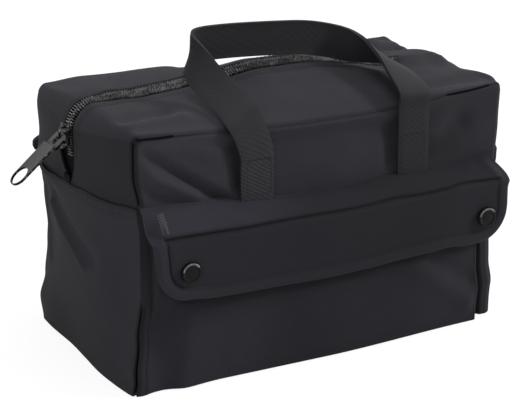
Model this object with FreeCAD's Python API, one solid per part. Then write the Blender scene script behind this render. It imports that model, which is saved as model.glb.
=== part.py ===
"""Zippered canvas tool bag: a boxy carry bag with a crowned zip top, a snap-flap pocket on the front
and on the back, and two webbing handles.

Millimetres. The origin is on the floor under the middle of the bag, +X runs along the length with
the closed zip's slider at the -X end, the front is -Y and +Z is up.
"""
import FreeCAD, Part
import math
import os

V = FreeCAD.Vector

# Body
length = 288.0          # between the corner seams, along the front and back top edges
depth = 154.0           # between the inner faces of the front and back panels
height = 178.0          # floor to the top edge seams
canvas = 1.5            # one layer of canvas
base_canvas = 2.0       # the doubled canvas of the bottom
end_bow = 13.5          # how far the ends swell past the corner seams at mid-depth
foot_bow = 6.5          # the same at the floor
seat_gap = 0.15         # slack between one sewn layer and the next
overrun = 20.0          # how far a cutting solid runs past what it cuts

# Zip gusset: the two strips that cross the top and fold down over the ends
shoulder_rise = 9.0     # the ridge above the edge seams, where it folds down at the slider's end
right_drop = 9.0        # how much lower the ridge folds down at the other end
crown_rise = 16.0       # the ridge above the edge seams, at mid-length
edge_sag = 6.5          # how far the front and back edges sag at mid-length
edge_corner = 8.0       # fold radius of the gusset at the front and back edges
ridge_corner = 23.0     # fold radius of the gusset along the zip
slope_power = 1.5       # how the top falls away from the ridge: 1 is a straight roof
section_shares = (1.0, 0.7, 0.4, 0.0)
slot_clear = 1.1        # from the teeth to the strips' edges
mouth_margin = 26.0     # from the corner seams to the stretch of the top that swings open
mouth_gap = 0.6         # running gap round the swinging stretch
seam_width = 3.0        # strip along the edge seam that doesn't swing
lap_below = 48.0        # upper edge of the end panels, which lap over the gusset, under the top edge
lap_depth = 12.0        # how far the gusset runs down behind them
lap_ease = 3.0          # full swell of the end panels under the gusset's foot

# Zip
tape_width = 14.4
tape_thick = 0.8
chain_width = 9.8       # both rows of teeth
chain_gap = 1.8         # channel between the rows
chain_proud = 1.0       # teeth above the canvas
stop_width = 10.0
stop_height = 3.5
stop_thick = 1.2

# Slider and pull tab
slider_length = 15.0
flange_clear = 0.6      # from the teeth to the slider's flanges
slider_narrow = 9.0     # at the tail
slider_plate = 1.6
slider_back_plate = 1.5
slider_clear = 0.4
slider_flange = 1.0
web_clear = 0.3         # from the slider's web to the rows of teeth
slider_web_length = 5.0
bridge_width = 3.0
bridge_bar = 1.6
bridge_inset = 1.0      # from the slider's ends to the bridge's feet
bridge_round_share = 0.8
pin_clear = 0.5         # between the tab's cross bar and the bridge
tab_length = 47.0
tab_width = 14.0
tab_thick = 1.8
tab_pin = 2.0           # diameter of the tab's cross bar
window_clear = 1.1      # between the bridge and the eye round it
tab_window_length = 9.0
tab_hole = 11.0
tab_hole_slot = 0.8     # straight stretch of the oval hole
tab_droop = 40.0        # degrees below level, as it stands out from the end

# Pockets and flaps, the same on the front and the back
flap_overhang = 3.0     # flap past the pocket's sides
pocket_clear = 2.0      # pocket's edge under the flap's sloping band
pocket_depth = 9.5
pocket_corner = 3.0
pocket_foot = 2.0
flap_margin = 7.0       # from the corner seams to the flap's sides
flap_shift = 7.0        # the flap sits a little towards +X
flap_below = 47.0       # fold where the flap leaves its seam, under the top edge
flap_roof = 21.0        # height of the sloping band under the fold
flap_drop = 65.0        # fold to the lower edge
flap_thick = 2.5
flap_corner = 24.0
flap_stand = 2.0        # fold in front of the panel
hem_width = 8.0
hem_proud = 0.8
flap_seam_height = 5.8
flap_seam_thick = 1.2
flap_gap = 0.6

# Snaps
snap_inset = 18.5       # from the flap's sides
snap_rise = 20.0        # above the flap's lower edge
snap_clear = 0.4        # between the socket and the stud's base
cap_diameter = 15.0
cap_rim = 1.0
cap_dome = 2.6
socket_diameter = 11.0
socket_thick = 3.0
bore_clear = 0.7        # round the stud
socket_bore_depth = 2.0
stud_base_diameter = 10.0
stud_base_thick = 0.8
stud_diameter = 6.8
stud_reach = 1.8
post_diameter = 10.0
post_thick = 1.0

# Handles
web_width = 25.0
web_thick = 2.4
handle_spacing = 123.0  # between the legs' middles
handle_shift = 9.5      # the handles sit a little towards +X
tail_gap = 0.2
tail_length = 22.4      # sewn length above the flap's seam
loop_gap = 0.9          # between the front tails and their swinging loop
turn_gap = 0.3          # between the back tails and their hanging loop
loop_stand = 0.5        # loop in front of the panel
band_clear = 7.0        # band of the resting front loop above the zip ridge
hang_drop = 78.0        # band of the hanging back loop below its tails
sew_tolerance = 0.01

half_length = length / 2
half_depth = depth / 2
half_mouth = half_length - mouth_margin
panel_face = half_depth + canvas
ridge_end = half_length + end_bow
ridge_height = height + crown_rise
zip_slot = chain_width + 2 * slot_clear
tape_under = canvas + seat_gap + tape_thick
lap_height = height - lap_below
gusset_foot = lap_height - lap_depth
chain_foot = lap_height + mouth_gap
corner_x = ridge_corner - ridge_end
corner_z = height + shoulder_rise - ridge_corner
slider_wide = chain_width + 2 * (slider_flange + flange_clear)
slider_web = chain_gap - 2 * web_clear
slider_face = -ridge_end - chain_proud - slider_clear - slider_plate
bridge_span = slider_length - 2 * bridge_inset
bridge_room = tab_pin + 2 * pin_clear
tab_window = bridge_width + 2 * window_clear
flap_width = length - 2 * flap_margin
flap_top = height - flap_below
flap_foot = flap_top - flap_drop
roof_foot = flap_top - flap_roof
pocket_width = flap_width - 2 * flap_overhang
pocket_height = roof_foot - pocket_clear
pocket_face = panel_face + pocket_depth
snap_gap = socket_thick + stud_base_thick + snap_clear
snap_spread = flap_width - 2 * snap_inset
snap_height = flap_foot + snap_rise
socket_bore = stud_diameter + 2 * bore_clear
flap_back = pocket_face + snap_gap
flap_face = flap_back + flap_thick
seam_top = flap_top + flap_gap + flap_seam_height
tail_foot = seam_top + tail_gap
tail_top = tail_foot + tail_length
tail_face = panel_face + web_thick


def block(x0, x1, y0, y1, z0, z1):
    """A box between two corners."""
    return Part.makeBox(x1 - x0, y1 - y0, z1 - z0, V(x0, y0, z0))


def arc(first, middle, last):
    """A circular edge through three points."""
    return Part.Arc(first, middle, last).toShape()


def bezier(*poles):
    """A smooth edge with the given poles."""
    curve = Part.BezierCurve()
    curve.setPoles(list(poles))
    return curve.toShape()


def prism(points, direction):
    """A straight-sided solid from a closed outline and an extrusion."""
    outline = Part.makePolygon(points + points[:1])
    return Part.Face(outline).extrude(direction)


def to_back(shape):
    """The back copy of a front piece."""
    return shape.mirror(V(0, 0, 0), V(0, 1, 0))


def to_right(shape):
    """The right copy of a left piece."""
    return shape.mirror(V(0, 0, 0), V(1, 0, 0))


def path_edges(share, skin, foot):
    """The gusset's line over the bag, at a share of the half depth and a depth under its face."""
    reach = half_length + end_bow * (1 - share ** 2) - skin
    bend = ridge_corner + (edge_corner - ridge_corner) * share - skin
    fall = 1 - share ** slope_power
    left = height + shoulder_rise * fall - skin
    right = height + (shoulder_rise - right_drop) * fall - skin
    crown = height + crown_rise * fall - edge_sag * share ** 2 - skin
    y = -share * half_depth
    turn = bend * math.sqrt(0.5)
    flat = reach - bend
    start = V(-flat, y, left)
    end = V(flat, y, right)
    left_low = V(-reach, y, left - bend)
    right_low = V(reach, y, right - bend)
    return [
        Part.makeLine(V(-reach, y, foot), left_low),
        arc(left_low, V(-flat - turn, y, left - bend + turn), start),
        bezier(start, V(0, y, 2 * crown - (left + right) / 2), end),
        arc(end, V(flat + turn, y, right - bend + turn), right_low),
        Part.makeLine(right_low, V(reach, y, foot)),
    ]


def layer(top_skin, under_skin, foot):
    """A front half sheet of the gusset between two depths under its face, from edge to ridge."""
    wires = []
    for share in section_shares:
        outer = Part.Wire(path_edges(share, top_skin, foot))
        inner = Part.Wire(path_edges(share, under_skin, foot))
        outer_ends = outer.OrderedVertexes
        inner_ends = inner.OrderedVertexes
        left = Part.makeLine(inner_ends[0].Point, outer_ends[0].Point)
        right = Part.makeLine(outer_ends[-1].Point, inner_ends[-1].Point)
        wires.append(Part.Wire([left] + outer.OrderedEdges + [right] + inner.OrderedEdges[::-1]))
    return Part.makeLoft(wires, True, True)


def piece_of(sheet, x0, x1, y0, y1):
    """The stretch of a sheet between two lengths and two depths."""
    return sheet.common(block(x0, x1, y0, y1, -overrun, ridge_height + overrun))


def gusset_pieces(sheet, y0, y1):
    """A sheet cut into its left end, swinging middle and right end."""
    far = ridge_end + overrun
    left = piece_of(sheet, -far, -half_mouth - mouth_gap, y0, y1)
    middle = piece_of(sheet, -half_mouth, half_mouth, y0, y1)
    right = piece_of(sheet, half_mouth + mouth_gap, far, y0, y1)
    return left, middle, right


def front_panel():
    """The front face of the bag, with the gusset's outline at its edge seam."""
    edges = path_edges(1.0, -canvas, 0)
    ends = Part.Wire(edges).OrderedVertexes
    base = Part.makeLine(ends[-1].Point, ends[0].Point)
    return Part.Face(Part.Wire(edges + [base])).extrude(V(0, -canvas, 0))


def end_line(skin, bow, z):
    """The bowed plan line of the left end at a height, from back to front."""
    reach = half_length - skin
    front = V(-reach, -half_depth, z)
    back = V(-reach, half_depth, z)
    return bezier(back, V(-reach - 2 * bow, 0, z), front)


def left_end_panel():
    """The swelling lower end, sewn between the front and back panels and lapped over the gusset."""
    wires = []
    for bow, z in ((foot_bow, 0), (end_bow, gusset_foot - lap_ease), (end_bow, lap_height)):
        inner = end_line(-seat_gap, bow, z)
        outer = end_line(-seat_gap - canvas, bow, z)
        front = Part.makeLine(inner.Vertexes[1].Point, outer.Vertexes[1].Point)
        back = Part.makeLine(outer.Vertexes[0].Point, inner.Vertexes[0].Point)
        wires.append(Part.Wire([inner, front, outer, back]))
    return Part.makeLoft(wires, True, True)


def bottom_panel():
    """The base, bowed at both ends to meet the end panels."""
    left = end_line(0, foot_bow, 0)
    right = to_right(left)
    front = Part.makeLine(V(-half_length, -half_depth, 0), V(half_length, -half_depth, 0))
    back = Part.makeLine(V(half_length, half_depth, 0), V(-half_length, half_depth, 0))
    return Part.Face(Part.Wire([left, front, right, back])).extrude(V(0, 0, base_canvas))


def zip_stop():
    """The stop at the foot of the chain on the left end."""
    x = -ridge_end - chain_proud
    half = stop_width / 2
    z = chain_foot + stop_thick
    return block(x - stop_thick, x, -half, half, z, z + stop_height)


def slider_body():
    """Front and back plates with side flanges, joined by the web that runs between the rows."""
    near = slider_face + slider_plate
    half = slider_length / 2
    wide = slider_wide / 2
    narrow = slider_narrow / 2
    waist = half - slider_web_length
    left = [(wide, half), (wide, waist), (narrow, -half)]
    plan = left + [(-y, z) for y, z in left[::-1]]
    sag = (ridge_corner - tape_under) ** 2 - half ** 2
    inside = corner_x - math.sqrt(sag) + slider_clear
    outer = prism([V(near, y, corner_z + z) for y, z in plan], V(-slider_plate, 0, 0))
    inner = prism([V(inside, y, corner_z + z) for y, z in plan], V(slider_back_plate, 0, 0))
    web_half = slider_web / 2
    low = corner_z + waist
    high = corner_z + half
    web = block(slider_face, inside + slider_back_plate, -web_half, web_half, low, high)
    flange = block(slider_face, near + slider_flange, wide - slider_flange, wide, low, high)
    return outer.fuse([inner, web, flange, to_back(flange)]).removeSplitter()


def slider_bridge():
    """The arch on the slider that holds the pull tab."""
    half = bridge_span / 2
    under = slider_face - bridge_room
    top = under - bridge_bar
    width = bridge_width / 2
    outer = block(top, slider_face, -width, width, corner_z - half, corner_z + half)
    inner = half - bridge_bar
    room = block(under, slider_face + overrun, -overrun, overrun, corner_z - inner, corner_z + inner)
    arch = outer.cut(room)
    corners = []
    for edge in arch.Edges:
        box = edge.BoundBox
        if box.XMax < top + seat_gap and box.YLength > bridge_width - seat_gap:
            corners.append(edge)
    return arch.makeFillet(bridge_bar * bridge_round_share, corners)


def pull_tab():
    """The flat tab: a cross bar under the bridge, an eye round it and an oval hole at the free end."""
    width = tab_width / 2
    thick = tab_thick / 2
    tip = tab_length - width
    plate = block(0, tip, -width, width, -thick, thick)
    round_end = Part.makeCylinder(width, tab_thick, V(tip, 0, -thick))
    bar = Part.makeCylinder(tab_pin / 2, tab_width, V(0, -width, 0), V(0, 1, 0))
    window_half = tab_window / 2
    window = block(tab_pin / 2, tab_window_length, -window_half, window_half, -overrun, overrun)
    hole_r = tab_hole / 2
    hole_half = tab_hole_slot / 2
    hole = block(tip - hole_half, tip + hole_half, -hole_r, hole_r, -overrun, overrun)
    for end in (tip - hole_half, tip + hole_half):
        hole = hole.fuse(Part.makeCylinder(hole_r, 2 * overrun, V(end, 0, -overrun)))
    tab = plate.fuse([round_end, bar]).cut(window.fuse(hole)).removeSplitter()
    tab.rotate(V(0, 0, 0), V(0, 1, 0), 180 - tab_droop)
    tab.translate(V(slider_face - bridge_room / 2, 0, corner_z))
    return tab


def front_pocket():
    """A patch pocket sewn on the front panel: face, sides and foot, open at the top."""
    half = pocket_width / 2
    bend = pocket_corner
    turn = bend * (1 - math.sqrt(0.5))

    def plan(inset):
        x = half - inset
        y = -pocket_face + inset
        bow = bend - inset
        cut = turn * bow / bend
        wall = -panel_face
        return [
            Part.makeLine(V(-x, wall, 0), V(-x, y + bow, 0)),
            arc(V(-x, y + bow, 0), V(-x + cut, y + cut, 0), V(-x + bow, y, 0)),
            Part.makeLine(V(-x + bow, y, 0), V(x - bow, y, 0)),
            arc(V(x - bow, y, 0), V(x - cut, y + cut, 0), V(x, y + bow, 0)),
            Part.makeLine(V(x, y + bow, 0), V(x, wall, 0)),
            Part.makeLine(V(x, wall, 0), V(-x, wall, 0)),
        ]

    tall = pocket_height - pocket_foot
    body = Part.Face(Part.Wire(plan(0))).extrude(V(0, 0, tall))
    room = Part.Face(Part.Wire(plan(canvas))).extrude(V(0, 0, tall))
    room.translate(V(0, 0, canvas))
    pocket = body.cut(room)
    pocket.translate(V(0, 0, pocket_foot))
    return pocket


def flap_outline(inset, y0, y1):
    """The flap's front outline, square at the fold and round at its lower corners, as a solid in Y."""
    half = flap_width / 2 - inset
    foot = flap_foot + inset
    bend = flap_corner - inset
    turn = bend * (1 - math.sqrt(0.5))
    left = flap_shift - half
    right = flap_shift + half
    edges = [
        Part.makeLine(V(left, y0, flap_top), V(left, y0, foot + bend)),
        arc(V(left, y0, foot + bend), V(left + turn, y0, foot + turn), V(left + bend, y0, foot)),
        Part.makeLine(V(left + bend, y0, foot), V(right - bend, y0, foot)),
        arc(V(right - bend, y0, foot), V(right - turn, y0, foot + turn), V(right, y0, foot + bend)),
        Part.makeLine(V(right, y0, foot + bend), V(right, y0, flap_top)),
        Part.makeLine(V(right, y0, flap_top), V(left, y0, flap_top)),
    ]
    return Part.Face(Part.Wire(edges)).extrude(V(0, y1 - y0, 0))


def front_flap():
    """The pocket flap: a sloping band under the fold, an upright face and a raised hem."""
    fold = -panel_face - flap_stand
    left = flap_shift - flap_width / 2
    section = [
        V(left, fold, flap_top),
        V(left, -flap_back, roof_foot),
        V(left, -flap_back, flap_foot),
        V(left, -flap_face, flap_foot),
        V(left, -flap_face, roof_foot),
        V(left, fold - flap_thick, flap_top),
    ]
    sheet = prism(section, V(flap_width, 0, 0))
    flap = sheet.common(flap_outline(0, -flap_face - overrun, -half_depth))
    hem = flap_outline(0, -flap_face - hem_proud, -flap_face)
    hem = hem.cut(flap_outline(hem_width, -flap_face - overrun, -half_depth))
    hem = hem.common(block(left, left + flap_width, -flap_face - overrun, 0, flap_foot, roof_foot))
    return flap.fuse(hem).removeSplitter()


def front_flap_seam():
    """The sewn edge of the flap on the front panel, above its fold."""
    half = flap_width / 2
    foot = flap_top + flap_gap
    face = -panel_face - flap_seam_thick
    return block(flap_shift - half, flap_shift + half, face, -panel_face, foot, seam_top)


def snap_places():
    """X of the two snaps of a flap."""
    return (flap_shift - snap_spread / 2, flap_shift + snap_spread / 2)


def disc(x, y, diameter, thick):
    """A round blank on a snap's axis, from y outwards to the front."""
    return Part.makeCylinder(diameter / 2, thick, V(x, y, snap_height), V(0, -1, 0))


def snap_caps():
    """The domed caps that show on the flap."""
    caps = []
    radius = cap_diameter / 2
    ball = (radius ** 2 + cap_dome ** 2) / (2 * cap_dome)
    half_angle = math.asin(radius / ball) / 2
    seat = -flap_face
    shoulder = seat - cap_rim
    top = shoulder - cap_dome
    for x in snap_places():
        fall = ball * (1 - math.cos(half_angle))
        middle = V(x + ball * math.sin(half_angle), top + fall, snap_height)
        centre = V(x, seat, snap_height)
        rim = V(x + radius, shoulder, snap_height)
        peak = V(x, top, snap_height)
        base = Part.makePolygon([peak, centre, V(x + radius, seat, snap_height), rim])
        section = Part.Face(Part.Wire(base.Edges + [arc(rim, middle, peak)]))
        caps.append(section.revolve(centre, V(0, 1, 0), 360))
    return Part.makeCompound(caps)


def snap_sockets():
    """The spring sockets behind the flap."""
    sockets = []
    for x in snap_places():
        mouth = -flap_back + socket_thick
        ring = disc(x, mouth, socket_diameter, socket_thick)
        sockets.append(ring.cut(disc(x, mouth, socket_bore, socket_bore_depth)))
    return Part.makeCompound(sockets)


def snap_studs():
    """The studs on the pocket that the sockets press onto."""
    studs = []
    for x in snap_places():
        base = disc(x, -pocket_face, stud_base_diameter, stud_base_thick)
        tip = disc(x, -pocket_face - stud_base_thick, stud_diameter, stud_reach)
        studs.append(base.fuse(tip).removeSplitter())
    return Part.makeCompound(studs)


def snap_posts():
    """The flat backs of the studs, inside the pocket."""
    back = -pocket_face + canvas + post_thick
    return Part.makeCompound([disc(x, back, post_diameter, post_thick) for x in snap_places()])


def leg_places():
    """X of the two legs of a handle."""
    return (handle_shift - handle_spacing / 2, handle_shift + handle_spacing / 2)


def handle_tails():
    """The lengths of webbing sewn flat on the front panel, from the flap's seam upwards."""
    half = web_width / 2
    tails = []
    for x in leg_places():
        tails.append(block(x - half, x + half, -tail_face, -panel_face, tail_foot, tail_top))
    return Part.makeCompound(tails)


# The front loop lies back over the top with its band on edge. Each row: along from the handle's middle
# as a share of half the leg spacing, inward from the panel as a share of half the depth, up from the
# loop's start as a share of the band's rise, and the way that the webbing's width points.
front_loop_shares = (
    (-1.000, 0.000, 0.000, (1.00, 0.00, 0.00)),
    (-1.000, 0.000, 0.210, (1.00, 0.00, 0.00)),
    (-1.010, 0.000, 0.420, (1.00, 0.00, 0.05)),
    (-1.060, 0.210, 0.560, (0.97, -0.10, 0.20)),
    (-1.145, 0.440, 0.690, (0.85, -0.20, 0.50)),
    (-1.240, 0.620, 0.840, (0.60, -0.15, 0.80)),
    (-1.310, 0.765, 0.970, (0.30, -0.05, 0.95)),
    (-1.310, 0.870, 1.035, (0.10, 0.00, 1.00)),
    (-1.130, 0.935, 1.045, (0.00, 0.00, 1.00)),
    (-0.720, 0.960, 1.025, (0.00, 0.00, 1.00)),
    (-0.150, 0.960, 1.000, (0.00, 0.00, 1.00)),
    (0.250, 0.960, 0.960, (0.00, 0.00, 1.00)),
    (0.590, 0.935, 0.875, (-0.10, -0.05, 1.00)),
    (0.820, 0.855, 0.795, (-0.30, -0.10, 0.95)),
    (0.970, 0.700, 0.740, (-0.60, -0.20, 0.75)),
    (1.030, 0.470, 0.680, (-0.87, -0.20, 0.45)),
    (1.030, 0.235, 0.565, (-0.97, -0.10, 0.20)),
    (1.010, 0.000, 0.420, (-1.00, 0.00, 0.05)),
    (1.000, 0.000, 0.210, (-1.00, 0.00, 0.00)),
    (1.000, 0.000, 0.000, (-1.00, 0.00, 0.00)),
)

# The back loop turns over at its tails and hangs down behind. Each row: along as above, outward from
# the tails as a share of the flap's standing depth, up from the tails as a share of its drop, and the
# way that the webbing's width points.
back_loop_shares = (
    (-1.000, 0.00, 0.000, (1.00, 0.00, 0.00)),
    (-1.000, 0.30, -0.006, (1.00, 0.00, 0.00)),
    (-1.000, 0.64, -0.036, (1.00, 0.00, 0.00)),
    (-1.000, 0.88, -0.110, (1.00, 0.00, 0.00)),
    (-0.995, 1.06, -0.300, (1.00, 0.00, 0.00)),
    (-0.970, 1.26, -0.580, (0.95, 0.25, -0.10)),
    (-0.880, 1.56, -0.820, (0.70, 0.65, -0.25)),
    (-0.660, 1.81, -0.950, (0.30, 0.92, -0.20)),
    (-0.330, 1.91, -1.000, (0.10, 0.98, -0.15)),
)


def ribbon(places, widths):
    """Webbing through its places, ruled from each to the next, with its width turned as given."""
    sections = []
    last = len(places) - 1
    for i, place in enumerate(places):
        along = places[min(i + 1, last)] - places[max(i - 1, 0)]
        along.normalize()
        across = widths[i] - along * widths[i].dot(along)
        across.normalize()
        half = across * (web_width / 2)
        skin = along.cross(across) * (web_thick / 2)
        corners = [place - half - skin, place + half - skin, place + half + skin, place - half + skin]
        sections.append(Part.makePolygon(corners + corners[:1]))
    faces = [Part.Face(sections[0]), Part.Face(sections[-1])]
    for near, far in zip(sections, sections[1:]):
        faces += [Part.makeRuledSurface(a, b) for a, b in zip(near.Edges, far.Edges)]
    shell = Part.makeShell(faces)
    shell.sewShape()
    solid = Part.makeSolid(shell)
    solid.fix(sew_tolerance, sew_tolerance, sew_tolerance)
    return solid


def front_handle():
    """The front handle's loop, leaning back over the zip."""
    start = tail_top + loop_gap
    rise = ridge_height + band_clear + web_width / 2 - start
    face = -panel_face - loop_stand - web_thick / 2
    places = []
    widths = []
    for along, inward, up, turn in front_loop_shares:
        x = handle_shift + along * handle_spacing / 2
        places.append(V(x, face + inward * half_depth, start + up * rise))
        widths.append(V(*turn))
    return ribbon(places, widths)


def back_handle():
    """The back handle's loop, hanging behind the back flap."""
    start = tail_top + turn_gap + web_thick / 2
    out = flap_face - panel_face
    mirrored = []
    for along, outward, up, turn in back_loop_shares:
        mirrored.insert(0, (-along, outward, up, (-turn[0], turn[1], turn[2])))
    places = []
    widths = []
    for along, outward, up, turn in back_loop_shares + tuple(mirrored):
        x = handle_shift + along * handle_spacing / 2
        places.append(V(x, tail_face + outward * out, start + up * hang_drop))
        widths.append(V(*turn))
    return ribbon(places, widths)


def save(name, shape):
    """Write one node and print its size."""
    shape.exportStep("parts/" + name + ".step")
    state = "valid" if shape.isValid() else "INVALID"
    print(name, len(shape.Solids), "solid(s)", round(shape.Volume, 1), "mm3", state)


os.makedirs("parts", exist_ok=True)

canvas_sheet = layer(0, canvas, gusset_foot)
tape_sheet = layer(canvas + seat_gap, tape_under, gusset_foot)
chain_sheet = layer(-chain_proud, canvas, chain_foot)
slot_edge = -zip_slot / 2
seam_edge = -half_depth + seam_width
tape_edge = -chain_gap / 2 - canvas
strips = gusset_pieces(canvas_sheet, seam_edge + mouth_gap, slot_edge)
ends = gusset_pieces(canvas_sheet, -half_depth, slot_edge)
tapes = gusset_pieces(tape_sheet, tape_edge - tape_width, tape_edge)
rows = gusset_pieces(chain_sheet, -chain_width / 2, -chain_gap / 2)
edge_strip = piece_of(canvas_sheet, -half_mouth, half_mouth, -half_depth, seam_edge)

front_pieces = {
    "panel": front_panel(),
    "left_gusset_end": ends[0],
    "right_gusset_end": ends[2],
    "top_edge_seam": edge_strip,
    "top_strip": strips[1],
    "zip_tape": tapes[1],
    "zip_teeth": rows[1],
    "pocket": front_pocket(),
    "flap": front_flap(),
    "flap_seam": front_flap_seam(),
    "snap_caps": snap_caps(),
    "snap_sockets": snap_sockets(),
    "snap_studs": snap_studs(),
    "snap_posts": snap_posts(),
    "handle_tails": handle_tails(),
}
for part_name, solid in front_pieces.items():
    save("front_" + part_name, solid)
    save("back_" + part_name, to_back(solid))

save("front_handle", front_handle())
save("back_handle", back_handle())
save("bottom_panel", bottom_panel())
save("left_end_panel", left_end_panel())
save("right_end_panel", to_right(left_end_panel()))
save("left_zip_tape_ends", Part.makeCompound([tapes[0], to_back(tapes[0])]))
save("right_zip_tape_ends", Part.makeCompound([tapes[2], to_back(tapes[2])]))
save("left_zip_teeth_ends", Part.makeCompound([rows[0], to_back(rows[0])]))
save("right_zip_teeth_ends", Part.makeCompound([rows[2], to_back(rows[2])]))
save("zip_stops", Part.makeCompound([zip_stop(), to_right(zip_stop())]))
save("zip_slider", slider_body())
save("slider_bridge", slider_bridge())
save("pull_tab", pull_tab())
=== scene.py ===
# %% [markdown]
# # A zippered canvas tool bag
# The packed CAD model is the fixed frame: it says where every piece sits and how it moves. The canvas,
# webbing, zip and snaps that you see are made here, piece by piece, round that frame.

# %% Load the frame
import math

import bmesh
import bpy
from mathutils import Matrix, Vector, noise


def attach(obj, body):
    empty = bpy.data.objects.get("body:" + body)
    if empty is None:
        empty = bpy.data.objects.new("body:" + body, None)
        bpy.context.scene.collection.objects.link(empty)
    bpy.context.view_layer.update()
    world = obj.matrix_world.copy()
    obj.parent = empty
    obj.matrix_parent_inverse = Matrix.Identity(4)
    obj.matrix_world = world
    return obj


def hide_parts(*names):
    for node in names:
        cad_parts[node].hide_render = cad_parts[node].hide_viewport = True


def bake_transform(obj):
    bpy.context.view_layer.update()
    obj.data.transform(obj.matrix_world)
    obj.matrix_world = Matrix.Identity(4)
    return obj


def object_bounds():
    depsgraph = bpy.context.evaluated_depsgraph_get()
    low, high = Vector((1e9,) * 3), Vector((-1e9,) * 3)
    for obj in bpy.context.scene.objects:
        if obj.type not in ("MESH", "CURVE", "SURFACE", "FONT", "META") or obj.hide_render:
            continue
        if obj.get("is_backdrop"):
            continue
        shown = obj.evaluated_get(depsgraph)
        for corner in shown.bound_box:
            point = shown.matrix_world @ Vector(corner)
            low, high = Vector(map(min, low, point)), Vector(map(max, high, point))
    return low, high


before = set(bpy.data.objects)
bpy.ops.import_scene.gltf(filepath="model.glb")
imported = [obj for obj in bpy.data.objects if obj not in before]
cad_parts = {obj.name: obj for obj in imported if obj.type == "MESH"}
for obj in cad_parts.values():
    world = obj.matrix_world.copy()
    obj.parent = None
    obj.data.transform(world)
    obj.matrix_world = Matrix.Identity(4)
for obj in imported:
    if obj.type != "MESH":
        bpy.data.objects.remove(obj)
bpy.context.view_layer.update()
MM = 0.001
SIDES = ((-1, "front"), (1, "back"))

# %% [markdown]
# ## Camera
# The photograph was taken a little above the bag from its front left, with a long lens. A camera can be
# tried by eye, but here its place was fitted to the bag's corners.

# %% Camera
scene = bpy.context.scene
scene.view_settings.view_transform = "Standard"
lens = bpy.data.cameras.new("photo_camera")
lens.lens = 150.5
lens.sensor_width = 36.0
camera = bpy.data.objects.new("photo_camera", lens)
scene.collection.objects.link(camera)
camera.location = (-0.7130, -1.3236, 0.6137)
aim = Vector((-0.00777, 0, 0.08763)) - camera.location
camera.rotation_mode = "QUATERNION"
camera.rotation_quaternion = aim.to_track_quat("-Z", "Y")
scene.camera = camera
print("camera", round(aim.length, 3), "m away")


# %% [markdown]
# ## Shader sums
# A material is a tree of nodes. Wiring each Math node by hand is long, so one small class wraps a socket
# and lets Python's own operators add the nodes.

# %% Shader links
class Link:
    """A socket of a node tree. Sums on it add Math nodes."""

    def __init__(self, tree, socket=None):
        self.tree = tree
        self.socket = socket

    def node(self, kind, settings=None, values=None, out=0):
        """Adds a node: first its settings, then the values or links of its sockets; gives an output."""
        made = self.tree.nodes.new("ShaderNode" + kind)
        for name, value in (settings or {}).items():
            setattr(made, name, value)
        for name, value in (values or {}).items():
            if isinstance(value, Link):
                self.tree.links.new(value.socket, made.inputs[name])
            else:
                made.inputs[name].default_value = value
        return Link(self.tree, made.outputs[out] if len(made.outputs) else None)

    def noise(self, where, scale, detail):
        """Cloudy greys."""
        return self.node("TexNoise", None, {"Vector": where, "Scale": scale, "Detail": detail}, "Fac")

    def wave(self, where, direction, pitch, **values):
        """Bands one pitch apart, in mm."""
        values.update({"Vector": where, "Scale": 2 * math.pi / (20 * pitch * MM)})
        return self.node("TexWave", {"bands_direction": direction}, values, "Fac")

    def ramp(self, stops):
        """A Color Ramp of (place, grey) stops on this value; the sum makes its colour a value again."""
        made = self.tree.nodes.new("ShaderNodeValToRGB")
        elements = made.color_ramp.elements
        while len(elements) < len(stops):
            elements.new(0.5)
        for element, (place, grey) in zip(elements, stops):
            element.position = place
            element.color = (grey, grey, grey, 1)
        self.tree.links.new(self.socket, made.inputs["Fac"])
        return Link(self.tree, made.outputs["Color"]) * 1.0

    def sum(self, operation, first, second):
        """A Math node on two values or links."""
        return self.node("Math", {"operation": operation}, {0: first, 1: second})

    def __add__(self, other):
        return self.sum("ADD", self, other)

    def __sub__(self, other):
        return self.sum("SUBTRACT", self, other)

    def __rsub__(self, other):
        return self.sum("SUBTRACT", other, self)

    def __mul__(self, other):
        return self.sum("MULTIPLY", self, other)

    __radd__ = __add__


def new_material(name):
    """An empty material and a Link to build it with."""
    material = bpy.data.materials.new(name)
    material.use_nodes = True
    material.node_tree.nodes.clear()
    return material, Link(material.node_tree)


def surface(link, shader):
    """Plugs a shader into the material's output."""
    link.node("OutputMaterial", None, {"Surface": shader})


print("a Link can", ", ".join(name for name in vars(Link) if name[0] != "_"))

# %% [markdown]
# ## Floor and light
# A pale floor and broad soft lamps give the even studio light. A picture of a studio could light the bag
# too, but lamps are easier to move. The sky is plain white to the camera and in reflections, and dimmer
# as a light.

# %% Sky and floor
WHITE = (1, 1, 1, 1)
world = bpy.data.worlds.new("studio")
world.use_nodes = True
world.node_tree.nodes.clear()
sky = Link(world.node_tree)
seen = sky.node("LightPath", out="Is Camera Ray") + sky.node("LightPath", out="Is Glossy Ray")
dome = sky.node("Background", None, {"Color": WHITE, "Strength": 0.27})
white = sky.node("Background", None, {"Color": WHITE, "Strength": 1.0})
mixed = sky.node("MixShader", None, {0: seen, 1: dome, 2: white})
sky.node("OutputWorld", None, {"Surface": mixed})
scene.world = world

pale, link = new_material("pale_floor")
matte = link.node("BsdfDiffuse", None, {"Color": (0.94, 0.94, 0.94, 1)})
glow = link.node("Emission", None, {"Color": WHITE, "Strength": 1.1})
camera_ray = link.node("LightPath", out="Is Camera Ray")
surface(link, link.node("MixShader", None, {0: camera_ray * 0.8, 1: matte, 2: glow}))

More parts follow.
